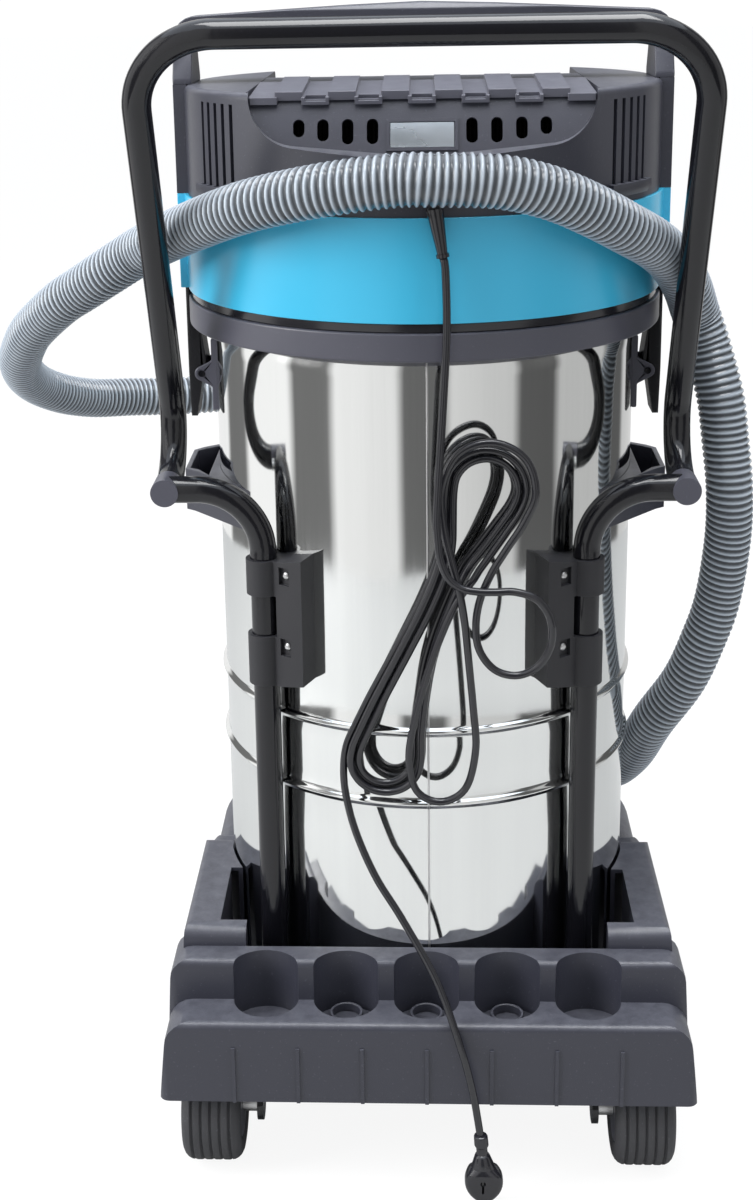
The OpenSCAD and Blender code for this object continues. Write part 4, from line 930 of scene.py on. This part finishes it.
class VACUUM_OT_filter_bag(bpy.types.Operator):
    """Builds the hanging cloth filter inside the tank."""

    bl_idname = "vacuum.filter_bag"
    bl_label = "Filter bag"

    wall = 3 * MM
    rows, columns = 24, 96
    folds = 14
    # narrowing at mid height, and share of the height over which the foot closes
    pull_in = 0.16
    foot_share = 0.14

    def radius(self, top_r, t, a):
        """Radius at a share t of the way down and at an angle a."""
        closing = 4.5 * max(0, t - 1 + self.foot_share) ** 1.4
        pull = 1 - self.pull_in * math.sin(math.pi * min(1, t * 1.1)) - closing
        pleat = 0.022 * min(1, t * 4) * (1 - math.cos(self.folds * a))
        sag = 0.01 * math.sin(3 * a + 5 * t)
        return top_r * pull * (1 - pleat - sag)

    def execute(self, context):
        low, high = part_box("filter_bag")
        rows, columns = self.rows, self.columns
        verts = []
        for inset in (0, self.wall):
            for i in range(rows + 1):
                t = i / rows
                z = max(low.z + inset, low.z + (high.z - low.z) * (1 - t))
                for k, (x, y) in enumerate(circle(1, columns)):
                    r = max(2 * MM, self.radius(high.x - inset, t, 2 * math.pi * k / columns))
                    verts.append((r * x, r * y, z))
        base = (rows + 1) * columns
        end = rows * columns
        faces = ring_faces(rows + 1, columns, flip=True) + ring_faces(rows + 1, columns, base)
        for k in range(columns):
            j = (k + 1) % columns
            faces.append((k, j, base + j, base + k))
        faces.append(tuple(end + k for k in range(columns))[::-1])
        faces.append(tuple(base + end + k for k in range(columns)))
        bag = new_piece("filter_cloth_bag", verts, faces)
        paint(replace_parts(bag, "filter_bag"), "filter_cloth")
        return {"FINISHED"}


class VACUUM_OT_studio(bpy.types.Operator):
    """Sets up the pale floor, the lights, the wall of soft panels and the camera."""

    bl_idname = "vacuum.studio"
    bl_label = "Studio"

    # place in millimetres, angles in radians
    camera_place = (0, -1734.9, 1132.9)
    camera_yaw = -0.048
    camera_pitch = 0.273
    camera_roll = -0.018
    # image size, focal length and optical centre in pixels
    image_w = 753
    image_h = 1200
    focal_px = 1783.43
    centre_px = (341.38, 463.11)
    # name, size and place in metres of each light; all aim at the middle of the tank
    lights = [
        ("key", (1.2, 2.2), (-2.8, -1.1, 2.0)),
        ("fill", (1.0, 2.2), (2.6, -1.2, 1.8)),
        ("top", (2.0, 1.4), (0.2, -0.4, 3.2)),
    ]
    aim = (0, 0, 0.6)
    sky_tint = (0.93, 0.97, 1.0)
    # colour and strength of the sky that glossy faces mirror, and of the white seen past the object
    mirrored_sky = ((0.86, 0.92, 1.0), 1.8)
    seen_sky = ((1, 1, 1), 1.05)
    floor_half = 30
    floor_tint = (0.45, 0.45, 0.45)
    # strength of the floor's own white, and its share in what the camera sees
    floor_white = 1.2
    floor_white_share = 0.75
    wall_radius = 1.9
    wall_height = 2.6
    wall_sides = 96
    # soft panels in the wall: their number round the machine, their share of it and the blur of their edges
    panel_count = 6
    panel_share = 0.6
    panel_blur = 0.04
    panel_tone = (1.1, 1.1, 1.1)
    gap_tone = (0.2, 0.2, 0.2)
    # strength of the panels on the key light's side and on the other one
    key_side = 1.0
    fill_side = 0.5

    def panels(self, tree):
        """Even soft panels round the machine, stronger on the key light's side: a colour and a strength."""
        place = add(tree, "ShaderNodeTexCoord")
        around = add(tree, "ShaderNodeTexGradient", gradient_type="RADIAL")
        turns = add(tree, "ShaderNodeMath", operation="MULTIPLY", in_1=self.panel_count)
        wave = add(tree, "ShaderNodeMath", operation="PINGPONG", in_1=0.5)
        edge = self.panel_share / 2
        inside = remapped(tree, edge + self.panel_blur, edge - self.panel_blur)
        tone = two_tones(tree, self.gap_tone, self.panel_tone)
        split = add(tree, "ShaderNodeSeparateXYZ")
        side = remapped(tree, -self.wall_radius, self.wall_radius, self.key_side, self.fill_side)
        join(tree, (place, "Object", around, 0), (around, 0, turns, 0), (turns, 0, wave, 0),
             (wave, 0, inside, 0), (inside, 0, tone, 0), (place, "Object", split, 0), (split, "X", side, 0))
        return tone, side

    def set_piece(self, name, verts, faces, material):
        """A mesh of the set, which is no piece of the object."""
        obj = put_mesh(name, verts, faces)
        obj.data.materials.append(material)
        return obj

    def wall(self):
        """A round wall of soft panels that only shows in reflections."""
        verts = [(x, y, z) for z in (0, self.wall_height) for x, y in circle(self.wall_radius, self.wall_sides)]
        material, tree, _ = blank_material("Mirrored wall")
        glow = add(tree, "ShaderNodeEmission")
        tone, strength = self.panels(tree)
        join(tree, (tone, 2, glow, 0), (strength, 0, glow, 1), (glow, 0, tree.nodes["Material Output"], 0))
        wall = self.set_piece("mirrored_wall", verts, ring_faces(2, self.wall_sides), material)
        wall.visible_camera = wall.visible_shadow = wall.visible_diffuse = wall.visible_transmission = False

    def light(self, name, power, size, place):
        """A rectangular light that faces the middle of the tank."""
        lamp = bpy.data.lights.new(name, "AREA")
        lamp.energy = power
        lamp.shape = "RECTANGLE"
        lamp.size, lamp.size_y = size
        obj = put(name, lamp)
        obj.location = place
        obj.rotation_mode = "QUATERNION"
        obj.rotation_quaternion = (Vector(self.aim) - Vector(place)).to_track_quat("-Z", "Y")

    def camera(self, scene):
        """The camera behind the machine, looking a little down on it."""
        camera = bpy.data.cameras.new("camera")
        obj = scene.camera = put("camera", camera)
        yaw, pitch, roll = self.camera_yaw, self.camera_pitch, self.camera_roll
        forward = Vector((math.sin(yaw) * math.cos(pitch), math.cos(yaw) * math.cos(pitch), -math.sin(pitch)))
        level = Vector((math.cos(yaw), -math.sin(yaw), 0))
        up = level.cross(forward)
        x = math.cos(roll) * level + math.sin(roll) * up
        y = -math.sin(roll) * level + math.cos(roll) * up
        turn = Matrix((x, y, -forward)).transposed()
        obj.matrix_world = Matrix.Translation(Vector(self.camera_place) * MM) @ turn.to_4x4()
        camera.sensor_fit = "AUTO"
        camera.sensor_width = 36
        camera.lens = self.focal_px / self.image_h * camera.sensor_width
        camera.shift_x = (self.image_w / 2 - self.centre_px[0]) / self.image_h
        camera.shift_y = (self.centre_px[1] - self.image_h / 2) / self.image_h
        camera.clip_end = 50

    def floor(self):
        """Plain pale floor, nearly white to the camera."""
        half = self.floor_half
        material, tree, shader = blank_material(
            "Studio floor", Base_Color=with_alpha(self.floor_tint), Roughness=0.9, Specular_IOR_Level=0.1)
        white = add(tree, "ShaderNodeEmission", in_1=self.floor_white)
        path = add(tree, "ShaderNodeLightPath")
        share = add(tree, "ShaderNodeMath", operation="MULTIPLY", in_1=self.floor_white_share)
        mix = add(tree, "ShaderNodeMixShader")
        join(tree, (path, "Is Camera Ray", share, 0), (share, 0, mix, 0), (shader, 0, mix, 1),
             (white, 0, mix, 2), (mix, 0, tree.nodes["Material Output"], 0))
        corners = [(-half, -half, 0), (half, -half, 0), (half, half, 0), (-half, half, 0)]
        self.set_piece("floor", corners, [(0, 1, 2, 3)], material)

    def world(self, scene, strength):
        """White seen past the object, even light on it, and a brighter room in its reflections."""
        world = bpy.data.worlds.new("studio")
        scene.world = world
        world.use_nodes = True
        tree = world.node_tree
        light = tree.nodes["Background"]
        light.inputs["Color"].default_value = with_alpha(self.sky_tint)
        light.inputs["Strength"].default_value = strength
        room, seen = [add(tree, "ShaderNodeBackground", in_0=with_alpha(colour), in_1=power)
                      for colour, power in (self.mirrored_sky, self.seen_sky)]
        path = add(tree, "ShaderNodeLightPath")
        glossy = add(tree, "ShaderNodeMixShader")
        mix = add(tree, "ShaderNodeMixShader")
        join(tree, (path, "Is Glossy Ray", glossy, 0), (light, 0, glossy, 1), (room, 0, glossy, 2),
             (path, "Is Camera Ray", mix, 0), (glossy, 0, mix, 1), (seen, 0, mix, 2),
             (mix, 0, tree.nodes["World Output"], 0))

    def execute(self, context):
        scene = context.scene
        studio = scene.vacuum_studio
        scene.view_settings.view_transform = "Standard"
        self.world(scene, studio.sky)
        self.floor()
        self.camera(scene)
        for name, size, place in self.lights:
            self.light(name, getattr(studio, name), size, place)
        self.wall()
        return {"FINISHED"}


class VACUUM_PT_panel(bpy.types.Panel):
    """Lists the steps and their settings."""

    bl_idname = "VACUUM_PT_panel"
    bl_label = "Tank vacuum cleaner"
    bl_space_type = "VIEW_3D"
    bl_region_type = "UI"
    bl_category = "Vacuum"

    def draw(self, context):
        scene = context.scene
        for settings in (scene.vacuum_finish, scene.vacuum_detail, scene.vacuum_studio):
            box = self.layout.box()
            for name in settings.__annotations__:
                box.prop(settings, name)
        for step in STEPS:
            self.layout.operator(step.bl_idname)


SETTINGS = {"vacuum_finish": FinishSettings, "vacuum_detail": DetailSettings, "vacuum_studio": StudioSettings}
STEPS = [
    VACUUM_OT_studio, VACUUM_OT_finishes, VACUUM_OT_hose, VACUUM_OT_plug, VACUUM_OT_cord, VACUUM_OT_tank,
    VACUUM_OT_filter_bag, VACUUM_OT_vent_filter,
]


def register():
    for cls in [*SETTINGS.values(), *STEPS, VACUUM_PT_panel]:
        bpy.utils.register_class(cls)
    for name, settings in SETTINGS.items():
        setattr(bpy.types.Scene, name, bpy.props.PointerProperty(type=settings))


def unregister():
    for name in SETTINGS:
        delattr(bpy.types.Scene, name)
    for cls in reversed([*SETTINGS.values(), *STEPS, VACUUM_PT_panel]):
        bpy.utils.unregister_class(cls)


def main():
    register()
    for name in ("Cube", "Light", "Camera"):
        if name in bpy.data.objects:
            bpy.data.objects.remove(bpy.data.objects[name])
    for step in STEPS:
        group, name = step.bl_idname.split(".")
        getattr(getattr(bpy.ops, group), name)()


if __name__ == "__main__":
    main()
